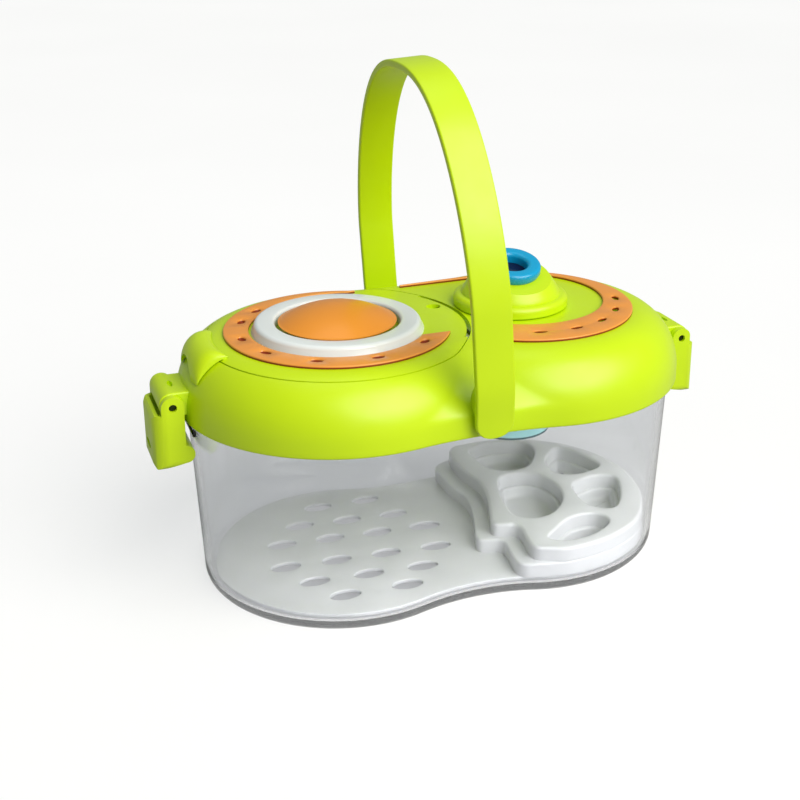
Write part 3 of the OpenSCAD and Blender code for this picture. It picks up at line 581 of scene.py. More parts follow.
def span(tree, source, low=0, high=1):
    """The pattern stretched to run from low to high."""
    node = add(tree, "ShaderNodeMapRange", From_Min=0.3, From_Max=0.7, To_Min=low, To_Max=high, Value=source)
    return node.outputs["Result"]


def blend_colours(tree, source, first, second):
    """Runs from one colour to another with a pattern."""
    mix = tree.nodes.new("ShaderNodeMix")
    mix.data_type = "RGBA"
    return feed(tree, mix, A=first, B=second, Factor=source).outputs["Result"]


def grained(tree, source, strength, distance):
    """A surface grain that follows a pattern, distance in millimetres."""
    lift = add(tree, "ShaderNodeBump", Strength=strength, Distance=distance * MM, Height=source)
    return lift.outputs["Normal"]


def height_ramp(tree, low, high):
    """Runs from 0 to 1 between two heights."""
    place = add(tree, "ShaderNodeTexCoord").outputs["Object"]
    axes = add(tree, "ShaderNodeSeparateXYZ", Vector=place)
    ramp = add(tree, "ShaderNodeMapRange", From_Min=low * MM, From_Max=high * MM, Value=axes.outputs["Z"])
    return ramp.outputs["Result"]


def choose(tree, share, usual, other, end):
    """Ends the tree with the usual shader where share is 0 and with the other one where it is 1."""
    mix = add(tree, "ShaderNodeMixShader", Fac=share)
    tree.links.new(usual, mix.inputs[1])
    tree.links.new(other, mix.inputs[2])
    tree.links.new(mix.outputs["Shader"], tree.nodes[end].inputs["Surface"])


def moulded(name, first, second, gloss=(0.24, 0.34), grain=0.1, painted_shade=None):
    """Moulded plastic: two close tones, uneven gloss, a faint grain and painted shade in hollows and on low
    edges.
    """
    material, tree, shader = new_material(name)
    tone = blend_colours(tree, span(tree, noise(tree, 38, 2)), first, second)
    # Painted shade: below the first height the tone turns to the shade's colour, which fades out by the
    # second.
    if painted_shade:
        colour, low, high = painted_shade
        tone = blend_colours(tree, height_ramp(tree, low, high), colour, tone)
    feed(tree, shader, Base_Color=tone, Roughness=span(tree, noise(tree, 160, 4), *gloss),
         Normal=grained(tree, noise(tree, 900, 4, 0.6), grain, 0.05), IOR=1.49)
    return material


def see_through(name, tint, rough, ior, passes):
    """Clear plastic or glass that lets lamplight through to what stands in it."""
    material, tree, shader = new_material(name)
    paler = tuple(min(1.0, c * 1.02) for c in tint)
    feed(tree, shader, Base_Color=blend_colours(tree, span(tree, noise(tree, 25)), tint, paler),
         Roughness=span(tree, noise(tree, 240), rough, rough * 2.5), Transmission_Weight=1.0, IOR=ior)
    window = add(tree, "ShaderNodeBsdfTransparent", Color=tuple(passes * c for c in tint))
    in_shadow = add(tree, "ShaderNodeLightPath").outputs["Is Shadow Ray"]
    choose(tree, in_shadow, shader.outputs["BSDF"], window.outputs["BSDF"], "Material Output")
    return material


def edged_rim(name):
    """Pale cyan plastic with a dark lower edge."""
    material, tree, shader = new_material(name)
    height = height_ramp(tree, RIM_LOW_Z + 0.6, RIM_LOW_Z + 0.8)
    feed(tree, shader, Base_Color=blend_colours(tree, height, (0.01, 0.07, 0.09), (0.42, 0.82, 0.88)),
         Roughness=span(tree, noise(tree, 160, 4), 0.14, 0.24),
         Normal=grained(tree, noise(tree, 900, 4), 0.1, 0.04))
    return material


def drawn_steel(name, first, second):
    """Steel with fine lines along it."""
    material, tree, shader = new_material(name)
    streaks = noise(tree, 1400, 2)
    feed(tree, shader, Metallic=1.0, Base_Color=blend_colours(tree, span(tree, streaks), first, second),
         Roughness=span(tree, streaks, 0.18, 0.34), Normal=grained(tree, streaks, 0.1, 0.02))
    return material


# Moulded plastics: first and second tone, gloss, grain and the painted shade of hollows and low edges, a
# colour that fades out between two heights
MOULDED = {
    "lime_plastic": ((0.53, 0.73, 0.0), (0.55, 0.75, 0.0), (0.32, 0.4), 0.02),
    "orange_trim": ((0.8, 0.3, 0.045), (0.84, 0.33, 0.055), (0.3, 0.4), 0.03,
                    # Painted shade: dark red-brown in the trims' dimples and vents and on their lower side
                    # edges.
                    ((0.22, 0.025, 0.002), DECK_Z + 0.45, DECK_Z + 0.7)),
    "orange_dome": ((0.86, 0.3, 0.025), (0.88, 0.32, 0.03), (0.3, 0.34), 0.0),
    "white_plastic": ((0.76, 0.8, 0.8), (0.8, 0.84, 0.84), (0.16, 0.24)),
    "grey_tray": ((0.56, 0.57, 0.59), (0.61, 0.62, 0.64), (0.12, 0.2), 0.03),
    "blue_plastic": ((0.0, 0.29, 0.55), (0.0, 0.33, 0.6), (0.2, 0.28), 0.03),
    "dark_lens": ((0.003, 0.004, 0.03), (0.006, 0.008, 0.045), (0.05, 0.09)),
}


# Clear plastics and glass: tint, roughness, index and how much lamplight passes
CLEAR = {
    "clear_plastic": ((0.9, 0.91, 0.925), 0.02, 1.49, 1.02),
    "cyan_tube": ((0.62, 0.93, 0.97), 0.06, 1.49, 0.92),
    "lens": ((0.75, 0.96, 1.0), 0.005, 1.5, 0.92),
}
STEEL = {
    "steel": ((0.55, 0.56, 0.58), (0.72, 0.73, 0.75)),
    # Painted shade: a near-black, green-tinted copy of the steel for the pin ends, which sit in shade among
    # the lime.
    "dark_steel": ((0.03, 0.045, 0.012), (0.05, 0.07, 0.02)),
}


def make_finishes():
    """All finishes of the jar by their slots."""
    finishes = {"teal_plastic": edged_rim("teal_plastic")}
    for kind, looks in ((moulded, MOULDED), (see_through, CLEAR), (drawn_steel, STEEL)):
        finishes.update({name: kind(name, *look) for name, look in looks.items()})
    return finishes


def dress(piece, finish, body, *nodes):
    """Gives a piece its finish, its body and the CAD nodes that it stands for."""
    piece.data.materials.clear()
    piece.data.materials.append(FINISHES[finish])
    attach(piece, body)
    if nodes:
        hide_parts(*nodes)
    return piece


# ---- tub

def tub_row(z, by):
    """One ring of the tub's wall: height z, moved inwards by by."""
    share = max(0.0, (z - FOOT_ROUND) / (TUB_H - FOOT_ROUND))
    r = FOOT_R + (RIM_R - FOOT_R) * share - by
    waist = r - (FOOT_WAIST_IN + (RIM_WAIST_IN - FOOT_WAIST_IN) * share)
    return flat(eight(r, waist, waist), z)


def make_tub():
    """The clear tub: up its outer wall, over the rim, down its inner wall to the floor, and two ribs."""
    rim, heel = 0.7, 2.0
    rings = [tub_row(FOOT_ROUND * (1 - cos(t)), FOOT_ROUND * (1 - sin(t))) for t in quarter(8)]
    rings += [tub_row(z, 0) for z in (16, 28, 40, 52, 64)]
    rings += [tub_row(TUB_H - rim * (1 - sin(t)), rim * (1 - cos(t))) for t in quarter(3)]
    rings += [tub_row(TUB_H - rim * (1 - sin(t)), TUB_WALL - rim * (1 - cos(t))) for t in quarter(3)[::-1]]
    rings += [tub_row(z, TUB_WALL) for z in (64, 52, 40, 28, 16, 8)]
    rings += [tub_row(TUB_FLOOR + heel * (1 - sin(t)), TUB_WALL + heel * (1 - cos(t))) for t in quarter(8)]
    tub = lofted("tub", rings)
    for side in (-1, 1):
        rib = block("rib", (RIB_IN_X, -RIB_HALF, RIB_Z), (RIB_OUT_X, RIB_HALF, RIB_TOP_Z))
        if side < 0:
            move(rib, MIRROR)
        soften(rib, 0.25, segments=2)
        turn_outwards(rib)
        boolean(tub, rib, "UNION")
    shade(tub)
    return dress(tub, "clear_plastic", "tub", "clear_tub")


# ---- trays

# Rows of floor slots: first slot in X and Y from the lobe's axis, pitch, drop towards the front, count
SLOT_ROWS = [(-0.4, 30.9, 18.2, 0.3, 2), (-10.4, 19.4, 17.2, 1.5, 3), (-19.6, 8.4, 16.9, 1.4, 4),
             (-22.0, -6.8, 17.2, 1.3, 4), (-15.5, -19.1, 18.1, 1.35, 3), (-8.5, -30.5, 20.6, 0.7, 2)]
SLOT_L = 10.2
SLOT_W = 5.7
SKIRT_T = 1.5


def make_floor_tray():
    """The slotted floor on its low skirt."""
    slots = []
    for x, y, pitch, drop, count in SLOT_ROWS:
        slots += [oval(x - LOBE_X + k * pitch, y - k * drop, SLOT_L, SLOT_W) for k in range(count)]
    r = FLOOR_TRAY_R
    tray = plate("floor_tray_plate", eight(r, r - FOOT_WAIST_IN, r - FOOT_WAIST_IN), slots,
                 two_soft_edges(0.3, FLOOR_TOP_Z, FLOOR_TRAY_Z))
    outer, inner, top = r - SKIRT_T, r - 2 * SKIRT_T, FLOOR_TRAY_Z + 0.2
    rings = [flat(eight(q, q - FOOT_WAIST_IN, q - FOOT_WAIST_IN), z)
             for q, z in ((outer, TUB_FLOOR), (outer, top), (inner, top), (inner, TUB_FLOOR))]
    skirt = looped("floor_tray_skirt", rings)
    boolean(tray, skirt, "UNION")
    shade(tray, 40)
    return dress(tray, "grey_tray", "tub", "floor_tray")


# Mouths of the five cells, from the right lobe's axis
CELLS = [
    [(-4.5, 37.2), (1.6, 41.0), (9.5, 40.4), (17.5, 37.3), (19.3, 33.0), (18.0, 27.0), (12.6, 19.0),
     (8.2, 16.3), (2.5, 16.3), (-2.3, 18.8), (-4.7, 24.0), (-5.2, 31.8)],
    [(28.8, 27.5), (33.5, 21.5), (36.8, 11.0), (35.5, 6.9), (27.5, 4.6), (21.3, 5.7), (18.2, 9.4),
     (18.9, 17.9), (23.6, 24.5)],
    [(-3.9, 10.4), (1.5, 13.2), (8.7, 11.7), (13.0, 6.4), (14.3, -2.9), (11.6, -11.5), (6.6, -17.4),
     (1.5, -20.6), (-4.0, -20.9), (-8.7, -18.0), (-9.6, -12.7), (-8.2, -2.7)],
    [(20.1, -3.0), (26.4, 0.2), (32.5, 0.5), (37.2, -2.4), (36.2, -8.6), (30.7, -18.6), (26.1, -23.3),
     (21.3, -22.9), (18.3, -18.5), (17.9, -11.3)],
    [(-5.0, -35.4), (-0.2, -30.8), (7.6, -25.3), (15.1, -24.8), (18.8, -27.4), (18.7, -32.2), (13.1, -36.6),
     (5.8, -39.2), (-1.1, -39.0)],
]
# Wavy left edge of the cell trays, from the back to the front
CELL_EDGE = [
    (-12.6, 39.0), (-13.6, 31.0), (-13.0, 20.0), (-11.4, 12.0), (-12.2, 4.0), (-14.6, -5.0), (-17.6, -13.5),
    (-18.9, -17.6), (-18.4, -20.4), (-15.6, -21.8), (-12.4, -23.0), (-11.2, -26.0), (-12.2, -32.5),
    (-12.6, -37.0), (-11.6, -40.2), (-8.0, -42.2)]
CELL_STEP = 1.7
CELL_SHIFT = 5.5


def right_loop(points):
    """A smooth counter-clockwise loop through points from the right lobe's axis."""
    return counter_clockwise([(LOBE_X + x, y) for x, y in spline(points)])


def cell_outline(shift):
    """Outline of a cell tray: the right lobe's arc, closed on the left by the wavy edge."""
    lobe = polar(0, [(CELL_R, t) for t in range(-94, 103, 7)])
    return right_loop(lobe + [(x - shift, y) for x, y in CELL_EDGE])


def cell_tray(name, shift, edge, step, rows, last="open"):
    """One tier of cells. Its outer edge and its cells go through levels of (inset, z)."""
    stacks = [[flat(inset(cell_outline(shift), by), z) for by, z in edge]]
    stacks += [[flat(inset(right_loop(cell), step + by), z) for by, z in rows] for cell in CELLS]
    return dress(filled(name + "_block", stacks, last, 50), "grey_tray", "tub", name)


def make_cell_trays():
    """The lower tier with its cell floors, and the upper one with the wider mouths."""
    low, mid, top = FLOOR_TOP_Z, CELL_MID_Z, CELL_TOP_Z
    rows = [(-0.7, mid), (-0.3, mid - 0.15), (0, mid - 0.7), (0.3, low + 2.2), (0.8, low + 1.3),
            (1.8, low + 1.0)]
    cell_tray("cell_tray_lower", CELL_SHIFT, soft_edge(0.9, mid, low, 4), CELL_STEP, rows, "cap")
    rows = [(-1.0, top), (-0.5, top - 0.12), (-0.12, top - 0.5), (0, top - 1.0), (0.25, mid)]
    cell_tray("cell_tray_upper", 0, soft_edge(1.3, top, mid, 5), 0, rows)


# ---- lid

SHOULDER_STEPS = 26


def lid_row(turn, wall=0.0):
    """One ring of the lid's shoulder, wall inside the outer skin."""
    up = sin(turn)
    r = LID_R - SHOULDER_IN * (1 - cos(turn))
    deepen = max(0.0, (up - VALLEY_START) / (1 - VALLEY_START))
    front_in = LID_WAIST_IN + (VALLEY_IN - LID_WAIST_IN) * deepen
    back_in = LID_WAIST_IN * (1 + BACK_GAIN * up)
    rise = SHOULDER_H - (DECK_T if wall > 0 else 0)
    return flat(eight(r - wall, r - front_in - wall, r - back_in - wall), SHOULDER_Z + rise * up)


def lid_straight(by, z):
    """One ring of the lid's upright skirt."""
    half = WAIST_HALF - by
    return flat(eight(LID_R - by, half, half), z)


def lid_outer(name):
    """The lid's outer form as a solid body."""
    rings = [lid_straight(EDGE * (1 - sin(t)), LID_Z + EDGE * (1 - cos(t))) for t in quarter(3)]
    rings += [lid_straight(0, LID_Z + 2)]
    rings += [lid_row(t) for t in quarter(SHOULDER_STEPS)]
    return lofted(name, rings)


def lid_hollow():
    """What is cut out of the lid's body, less the stop, the hatch's collar and the hinge seats that stay."""
    lip = LID_WALL - EDGE
    rings = [lid_straight(lip, LID_Z - CUT), lid_straight(lip, LID_Z),
             lid_straight(LID_WALL - 0.15, LID_Z + 0.15), lid_straight(LID_WALL, LID_Z + EDGE)]
    rings += [lid_row(t, LID_WALL) for t in quarter(SHOULDER_STEPS)]
    hollow = lofted("hollow", rings)
    stop_half = STOP_R - RIM_WAIST_IN
    sizes = [(LID_R, WAIST_HALF, STOP_Z), (LID_R, WAIST_HALF, STOP_TOP_Z), (STOP_R, stop_half, STOP_TOP_Z),
             (STOP_R, stop_half, STOP_Z)]
    boolean(hollow, looped("stop", [flat(eight(r, half, half), z) for r, half, z in sizes]))
    low, high = LEDGE_Z - LEDGE_T, UNDER_DECK_Z + 1
    inner, outer = PORT_R - LEDGE_W - 1, PORT_R + COLLAR_T
    profile = [(inner, low), (outer, low), (outer, high), (inner, high)]
    boolean(hollow, turned("collar", profile, HATCH_X, steps=144))
    for side in (-1, 1):
        mid = side * (HINGE_HALF - 1)
        boolean(hollow, block("seat", (HINGE_X - 2, mid - HINGE_SEAT / 2, DECK_Z - 3.2),
                              (HINGE_X + 2, mid + HINGE_SEAT / 2, DECK_Z + 1)))
    return hollow


def make_lug(side):
    """One latch lug: a round-ended block that reaches into the lid's wall."""
    inner = LID_END_X - 2 * LID_WALL - 6
    outline = [(inner, LATCH_Z - LUG_R), (LATCH_X, LATCH_Z - LUG_R)]
    outline += [(LATCH_X + LUG_R * sin(t), LATCH_Z - LUG_R * cos(t))
                for t in (pi * i / 16 for i in range(1, 16))]
    outline += [(LATCH_X, LATCH_Z + LUG_R), (inner, LATCH_Z + LUG_R)]
    lug = side_prism("lug", [(side * x, z) for x, z in outline], -LUG_W / 2, LUG_W / 2)
    return soften(lug, 0.5, angle=50)


VENT_TURNS = (-104, -79, -56, -33, -11)
# Centre and radius of the right trim's inner edge, as shares of its outer radius
RIGHT_BORE = (0.038, 0.174, 0.775)


def right_bore(t):
    """Radius of the right trim's inner edge in direction t from the lobe's axis."""
    x, y, r = (TRIM_R * share for share in RIGHT_BORE)
    along, across = x * cos(t) + y * sin(t), x * sin(t) - y * cos(t)
    return along + sqrt(r * r - across * across)


def ovals_along(x, places, size):
    """Ovals at (radius, turn in radians) round the axis at x, their long side along the circle."""
    return [oval(x + r * cos(t), r * sin(t), *size, t + pi / 2) for r, t in places]


def vents(size):
    """Outlines of the right lobe's vents."""
    return ovals_along(LOBE_X, [((TRIM_R + right_bore(t)) / 2, t) for t in map(radians, VENT_TURNS)], size)


def cross_rod(name, x, z, half, r, steps=48):
    """A round bar along Y, as long to the front as to the back."""
    return rod(name, (x, -half, z), (x, half, z), r, steps)


def pivot_rod(name, side, start, end, r, steps=48):
    """A round bar on the handle's axis, from start to end off the middle."""
    return rod(name, (0, side * start, PIVOT_Z), (0, side * end, PIVOT_Z), r, steps)


def make_lid(body):
    """The lid's shell: lugs and bosses, the hollow, the hatch's port, the bores and the vents."""
    for side in (-1, 1):
        boolean(body, make_lug(side), "UNION")
        boss = pivot_rod("boss", side, WAIST_HALF - VALLEY_IN, BOSS_FACE, BOSS_R, 64)
        boolean(body, soften(boss, 0.3, segments=2), "UNION")
    boolean(body, lid_hollow())
    ledge_low, above = LEDGE_Z - LEDGE_T - CUT, DECK_Z + CUT
    boolean(body, upright("port", circle(HATCH_X, 0, PORT_R), LEDGE_Z, above))
    boolean(body, upright("port", circle(HATCH_X, 0, PORT_R - LEDGE_W), ledge_low, LEDGE_Z + 1))
    relief = upright("relief", circle(HATCH_X, 0, PORT_R + 0.1), ledge_low, LEDGE_Z + 0.5)
    boolean(relief, block("right", (HATCH_X + PORT_R - 2 * HINGE_IN, -60, 60), (60, 60, 100)), "INTERSECT")
    boolean(body, relief)
    boolean(body, cross_rod("pin", HINGE_X, HINGE_Z, HINGE_HALF, PIN_R + PIN_FIT / 2))
    boolean(body, upright("bore", circle(VIEWER_X, VIEWER_Y, HUB_R + 0.1), UNDER_DECK_Z - CUT, above))
    for side in (-1, 1):
        boolean(body, pivot_rod("bore", side, WAIST_HALF - 3.6, FOOT_HALF, STUD_R + STUD_FIT))
        boolean(body, cross_rod("pin", side * LATCH_X, LATCH_Z, LUG_W, LUG_BORE_R, 32))
        slot = oval(side * (LATCH_X - 1.2), 0, 5.2, 1.6, pi / 2)
        boolean(body, upright("slot", slot, LATCH_Z + LUG_R - 1.2, LATCH_Z + 8))
    for loop in vents(VENT_CUT):
        boolean(body, upright("vent", loop, UNDER_DECK_Z - CUT, above))
    turn_outwards(body, MEND)
    shade(body)
    return dress(body, "lime_plastic", "lid", "lid_shell")


# ---- hatch

def shoulder_point(turn, off):
    """A point of the shoulder's section at a lobe, off outside the skin."""
    n = Vector((SHOULDER_H * cos(turn), SHOULDER_IN * sin(turn))).normalized()
    r = LID_R - SHOULDER_IN * (1 - cos(turn))
    return r + off * n[0], SHOULDER_Z + SHOULDER_H * sin(turn) + off * n[1]


TAB_HALF = 12.5
TAB_T = 3.2
TAB_OFF = 0.4
TAB_LOW = 0.36
TAB_HIGH = 0.84
SCOOP_W = 8.0
SCOOP_H = 6.0
SCOOP_Z = SHOULDER_Z + 9.4


def make_tab():
    """The lifting tab: a bead along the hatch's edge that runs down into two fins, and a finger's scoop."""
    low, high = pi / 2 * TAB_LOW, pi / 2 * TAB_HIGH
    steps, rows = 18, 28
    rings = []
    for share in (-cos(pi * k / rows) for k in range(rows + 1)):
        y = TAB_HALF * share
        full = sqrt(max(0.0, 1 - abs(share) ** 7)) * 0.86 + 0.14
        outer = []
        for t in (1 - i / steps for i in range(steps + 1)):
            swell = max(0.0, sin(pi * t ** 1.35)) ** 0.62
            outer.append(shoulder_point(low + (high - low) * t, TAB_OFF + TAB_T * swell * full))
        inner = [shoulder_point(low + (high - low) * i / steps, TAB_OFF) for i in range(steps + 1)]
        inner = [point for point in inner if point[0] > HATCH_R - 0.4]
        top = inner[-1][1]
        root = [(HATCH_R - 0.4, top), (HATCH_R - 1.8, top - 0.6), (HATCH_R - 1.8, top + 0.4)]
        rings.append([(HATCH_X - sqrt(max(1.0, r * r - y * y)), y, z) for r, z in outer + inner + root])
    tab = lofted("tab", rings, 50)
    scoop = oval(0, SCOOP_Z, 2 * SCOOP_W, 2 * SCOOP_H, 0, 48)
    return boolean(tab, along_x("scoop", scoop, -2 * LID_R, HATCH_X - HATCH_R + 2))


def make_hatch(body):
    """The hatch's plate: the lid's form inside the port, with the tab, the hinge's gap and the bores."""
    above = DECK_Z + CUT
    boolean(body, upright("keep", circle(HATCH_X, 0, HATCH_R), HATCH_Z, above), "INTERSECT")
    boolean(body, make_tab(), "UNION")
    inner, outer, low, high = HATCH_R - HINGE_GAP, HATCH_R + 1, HATCH_Z - 1, DECK_Z + 1
    sizes = [(inner, low), (outer, low), (outer, high), (inner, high)]
    gap = looped("gap", [flat(circle(HATCH_X, 0, r), z) for r, z in sizes])
    boolean(gap, block("right", (HATCH_X, -HINGE_TRIM_HALF, 60), (60, HINGE_TRIM_HALF, 100)), "INTERSECT")
    boolean(body, gap)
    boolean(body, upright("pocket", circle(HATCH_X, 0, POCKET_R), HATCH_Z - CUT, POCKET_Z))
    boolean(body, upright("bore", circle(HATCH_X, 0, PLATE_BORE_R, 64), HATCH_Z, above))
    boolean(body, cross_rod("pin", HINGE_X, HINGE_Z, HINGE_HALF, PIN_R + PIN_FIT))
    recess = oval(HATCH_X + HATCH_R * 0.86, HATCH_R * 0.23, *RECESS)
    boolean(body, upright("recess", recess, DECK_Z - RECESS_DEEP, above))
    shade(body)
    return dress(body, "lime_plastic", "hatch", "hatch_plate")


DIMPLE_TURNS = (132, 153, 183, 210, 242, 276, 312)
HORN_TURN = 64
HORN_START = 133
POINT_SHARE = 0.476
LEFT_IN = BEZEL_R + 0.7


def left_trim_outline():
    """The left trim: a band that tapers to a tip behind and ends in a point in front."""
    end_out, end_in = (360 - degrees(asin(TRIM_R * POINT_SHARE / r)) for r in (TRIM_R, LEFT_IN))
    places = [(TRIM_R, HORN_TURN + (end_out - HORN_TURN) * i / 120) for i in range(121)]
    places += [(LEFT_IN, end_in + (HORN_START - end_in) * i / 80) for i in range(81)]
    places += [(LEFT_IN + (TRIM_R - 1.2 - LEFT_IN) * t ** 0.8, HORN_START - (HORN_START - 1 - HORN_TURN) * t)
               for t in (i / 24 for i in range(1, 24))]
    return polar(HATCH_X, places)


def make_left_trim():
    """The dimpled trim, each dimple a shallow dish."""
    top = DECK_Z + TRIM_H
    stacks = [[flat(inset(left_trim_outline(), by), z) for by, z in soft_edge(TRIM_ROUND, top, DECK_Z)]]
    rows = [(-0.15, top), (0, top - 0.12), (0.12, top - 0.7), (0.5, top - 0.88)]
    r = (TRIM_R + LEFT_IN) / 2 - 0.8
    for dish in ovals_along(HATCH_X, [(r, t) for t in map(radians, DIMPLE_TURNS)], DIMPLE):
        stacks.append([flat(inset(dish, by), z) for by, z in rows])
    trim = filled("hatch_trim", stacks, "cap", 50)
    return dress(trim, "orange_trim", "hatch", "vent_crescent_left")


def right_trim_outline():
    """The right trim: a crescent with a thin horn along the back of the deck."""
    first, last = -132, 80
    points = polar(LOBE_X, [(TRIM_R, first + (last - first) * i / 100) for i in range(101)])
    x, y = LOBE_X + (TRIM_R - 0.8) * cos(radians(82)), (TRIM_R - 0.4) * sin(radians(82))
    tip_y = TRIM_R * 0.92
    points += [(x * (1 - i / 8), y + (tip_y - y) * i / 8) for i in range(9)]
    points += [(x * i / 8, tip_y - 0.8 + (y - 2 - tip_y + 0.8) * i / 8) for i in range(9)]
    inner = [last + (first - last) * i / 90 for i in range(91)]
    return points + polar(LOBE_X, [(right_bore(radians(t)), t) for t in inner])


def make_right_trim():
    """The trim with the right lobe's vents."""
    top = DECK_Z + TRIM_H
    trim = plate("viewer_trim", right_trim_outline(), vents(VENT), soft_edge(TRIM_ROUND, top, DECK_Z),
                 soft_edge(0.2, top, DECK_Z, 2), 50)
    return dress(trim, "orange_trim", "lid", "vent_crescent_right")


def make_bezel():
    """The white ring: a cone outside, a broad top and a rolled inner edge."""
    top = DECK_Z + BEZEL_H
    profile = [(BEZEL_BORE_R, DECK_Z), (BEZEL_R, DECK_Z), (BEZEL_R - 0.1, DECK_Z + 0.4)]
    profile += rolled(BEZEL_R - 0.9, top, 1.6) + rolled_in(BEZEL_BORE_R, top, 1.2)
    bezel = turned("bezel", profile, HATCH_X, steps=128)
    return dress(bezel, "white_plastic", "hatch", "dome_bezel")


def make_dome():
    """The orange dome with its lip, shell and stem, and the groove for the stem's clip."""
    big = (DOME_R ** 2 + DOME_H ** 2) / (2 * DOME_H)
    mid = DOME_Z + DOME_H - big
    reach = atan2(DOME_R - 0.35, DOME_Z + 0.4 - mid)
    profile = [(big * sin(reach * i / 24), mid + big * cos(reach * i / 24)) for i in range(25)]
    profile += [(DOME_R - 0.1, DOME_Z + 0.25), (DOME_R - 0.15, DOME_Z), (DOME_R - DOME_WALL, DOME_Z)]
    small = big - DOME_WALL
    back = acos((DOME_Z + 0.3 - mid) / small)
    profile += [(small * sin(t), mid + small * cos(t)) for t in (back * (1 - i / 16) for i in range(13))]
    groove_r, groove_top = STEM_R - CLIP_DEEP, CLIP_Z + CLIP_T
    profile += [(STEM_R, profile[-1][1]), (STEM_R, groove_top), (groove_r, groove_top), (groove_r, CLIP_Z),
                (STEM_R, CLIP_Z), (STEM_R, STEM_Z + 0.3), (STEM_R - 0.3, STEM_Z), (0, STEM_Z)]
    dome = turned("dome", profile, HATCH_X, steps=128, loop=False)
    return dress(dome, "orange_dome", "button", "dome_button")


# ---- viewer

def tilt(up):
    """From the eyepiece's own axes to its place on the cone."""
    seat = Matrix.Translation(Vector((VIEWER_X, VIEWER_Y, EYE_SEAT_Z)) * MM)
    return seat @ Matrix.Rotation(radians(EYE_TILT), 4, "X") @ Matrix.Translation((0, 0, up * MM))


def make_viewer():
    """The housing, turned as one profile and cut off aslant where the eyepiece sits."""
    top, inner = FLANGE_Z + FLANGE_T, HUB_R - HUB_WALL
    cone_low, cone_top = top + 0.5, top + 0.4 + CONE_H
    profile = [(inner, HUB_Z), (HUB_R, HUB_Z), (HUB_R, FLANGE_Z), (FLANGE_R - 0.2, FLANGE_Z),
               (FLANGE_R, FLANGE_Z + 0.3)]
    profile += rolled(FLANGE_R, top, 1.9) + [(CONE_R + 0.4, top), (CONE_R + 0.05, top + 0.12)]
    profile += [(CONE_R - (CONE_R - EYE_R - 0.4) * t + 0.5 * sin(pi * t),
                 cone_low + (cone_top - cone_low) * t) for t in (i / 8 for i in range(9))]
    bore_r = EYE_BORE_R + 0.1
    profile += [(bore_r, cone_top), (bore_r, EYE_SEAT_Z - 3.5), (inner, top)]
    housing = turned("viewer_cone", profile, VIEWER_X, VIEWER_Y, steps=128)
    boolean(housing, move(block("above", (-30, -30, 0), (30, 30, 20)), tilt(0)))
    seat = [(0, -EYE_SEAT_DEEP), (EYE_SEAT_R, -EYE_SEAT_DEEP), (EYE_SEAT_R, 4), (0, 4)]
    boolean(housing, move(turned("seat", seat, 0, steps=64, loop=False), tilt(0)))
    shade(housing)
    return dress(housing, "lime_plastic", "viewer", "viewer_housing")


def make_eyepiece():
    """The blue ring on the viewer's cone."""
    profile = [(EYE_BORE_R, 0), (EYE_R - 0.5, 0)]
    profile += [(EYE_R - 1.1 + 1.1 * cos(t), 1.1 + 1.1 * sin(t)) for t in (-pi / 4, 0)]
    profile += rolled(EYE_R, EYE_H, 1.2) + rolled_in(EYE_BORE_R, EYE_H, 1.5)
    ring = move(turned("eyepiece", profile, 0, steps=96), tilt(0.02))
    return dress(ring, "blue_plastic", "viewer", "eyepiece_ring")


# ---- handle

def strap_half(z):
    """How far the strap's outer face stands from the middle at height z."""
    t = min(1.0, max(0.0, (z - PIVOT_Z + FOOT_DROP) / (FOOT_DROP + EASE_H)))
    return FOOT_HALF + (HANDLE_HALF - FOOT_HALF) * t * t * (3 - 2 * t)


def strap_line():
    """The strap's outer line in Y and Z, from the front foot over the crown to the back foot."""
    foot = PIVOT_Z - FOOT_DROP
    heights = [foot + FOOT_CORNER * (1 - cos(t)) for t in quarter(8)]
    heights += [foot + FOOT_CORNER + (FOOT_DROP + EASE_H - FOOT_CORNER) * i / 6 for i in range(1, 7)]
    side = [(strap_half(z), z) for z in heights]
    side += [(HANDLE_HALF, PIVOT_Z + EASE_H + (CROWN_START - EASE_H) * i / 5) for i in range(1, 5)]
    side += [(HANDLE_HALF * max(0.0, cos(t)) ** CROWN_ROUND,
              PIVOT_Z + CROWN_START + CROWN_H * sin(t) ** CROWN_LIFT) for t in quarter(40)]
    return [(-y, z) for y, z in side] + [(y, z) for y, z in reversed(side[:-1])]


def strap_section(width):
    """The strap's section as (across, inwards), rounded at its corners."""
    corners = [(-width / 2, 0), (width / 2, 0), (width / 2, STRAP_T), (-width / 2, STRAP_T)]
    return rounded(corners, min(STRAP_CORNER, width / 3))


def make_handle():
    """The strap with its two studs, leaned to the left as it stands in the photo."""
    line = strap_line()
    rings = []
    for i, (y, z) in enumerate(line):
        (y0, z0), (y1, z1) = line[max(0, i - 1)], line[min(len(line) - 1, i + 1)]
        n = Vector((z0 - z1, y1 - y0)).normalized()
        if n.dot(Vector((-y, STRAP_MID_Z - z))) < 0:
            n = -n
        rise = min(FOOT_CORNER, z - PIVOT_Z + FOOT_DROP)
        corner = FOOT_CORNER - sqrt(max(0.0, FOOT_CORNER ** 2 - (FOOT_CORNER - rise) ** 2))
        section = strap_section(max(STRAP_W - 2 * corner, 2.0))
        rings.append([(u, y + n[0] * v, z + n[1] * v) for u, v in section])
    handle = lofted("handle", rings, 50)
    for side in (-1, 1):
        stud = pivot_rod("stud", side, WAIST_HALF - 1.6, FOOT_HALF - 1.2, STUD_R)
        boolean(handle, soften(stud, 0.3, segments=2), "UNION")
    pivot = Vector((0, 0, PIVOT_Z)) * MM
    lean = Matrix.Rotation(radians(-HANDLE_LEAN), 4, "Y")
    move(handle, Matrix.Translation(pivot) @ lean @ Matrix.Translation(-pivot))
    shade(handle, 50)
    return dress(handle, "lime_plastic", "handle", "carry_handle")


# ---- latches

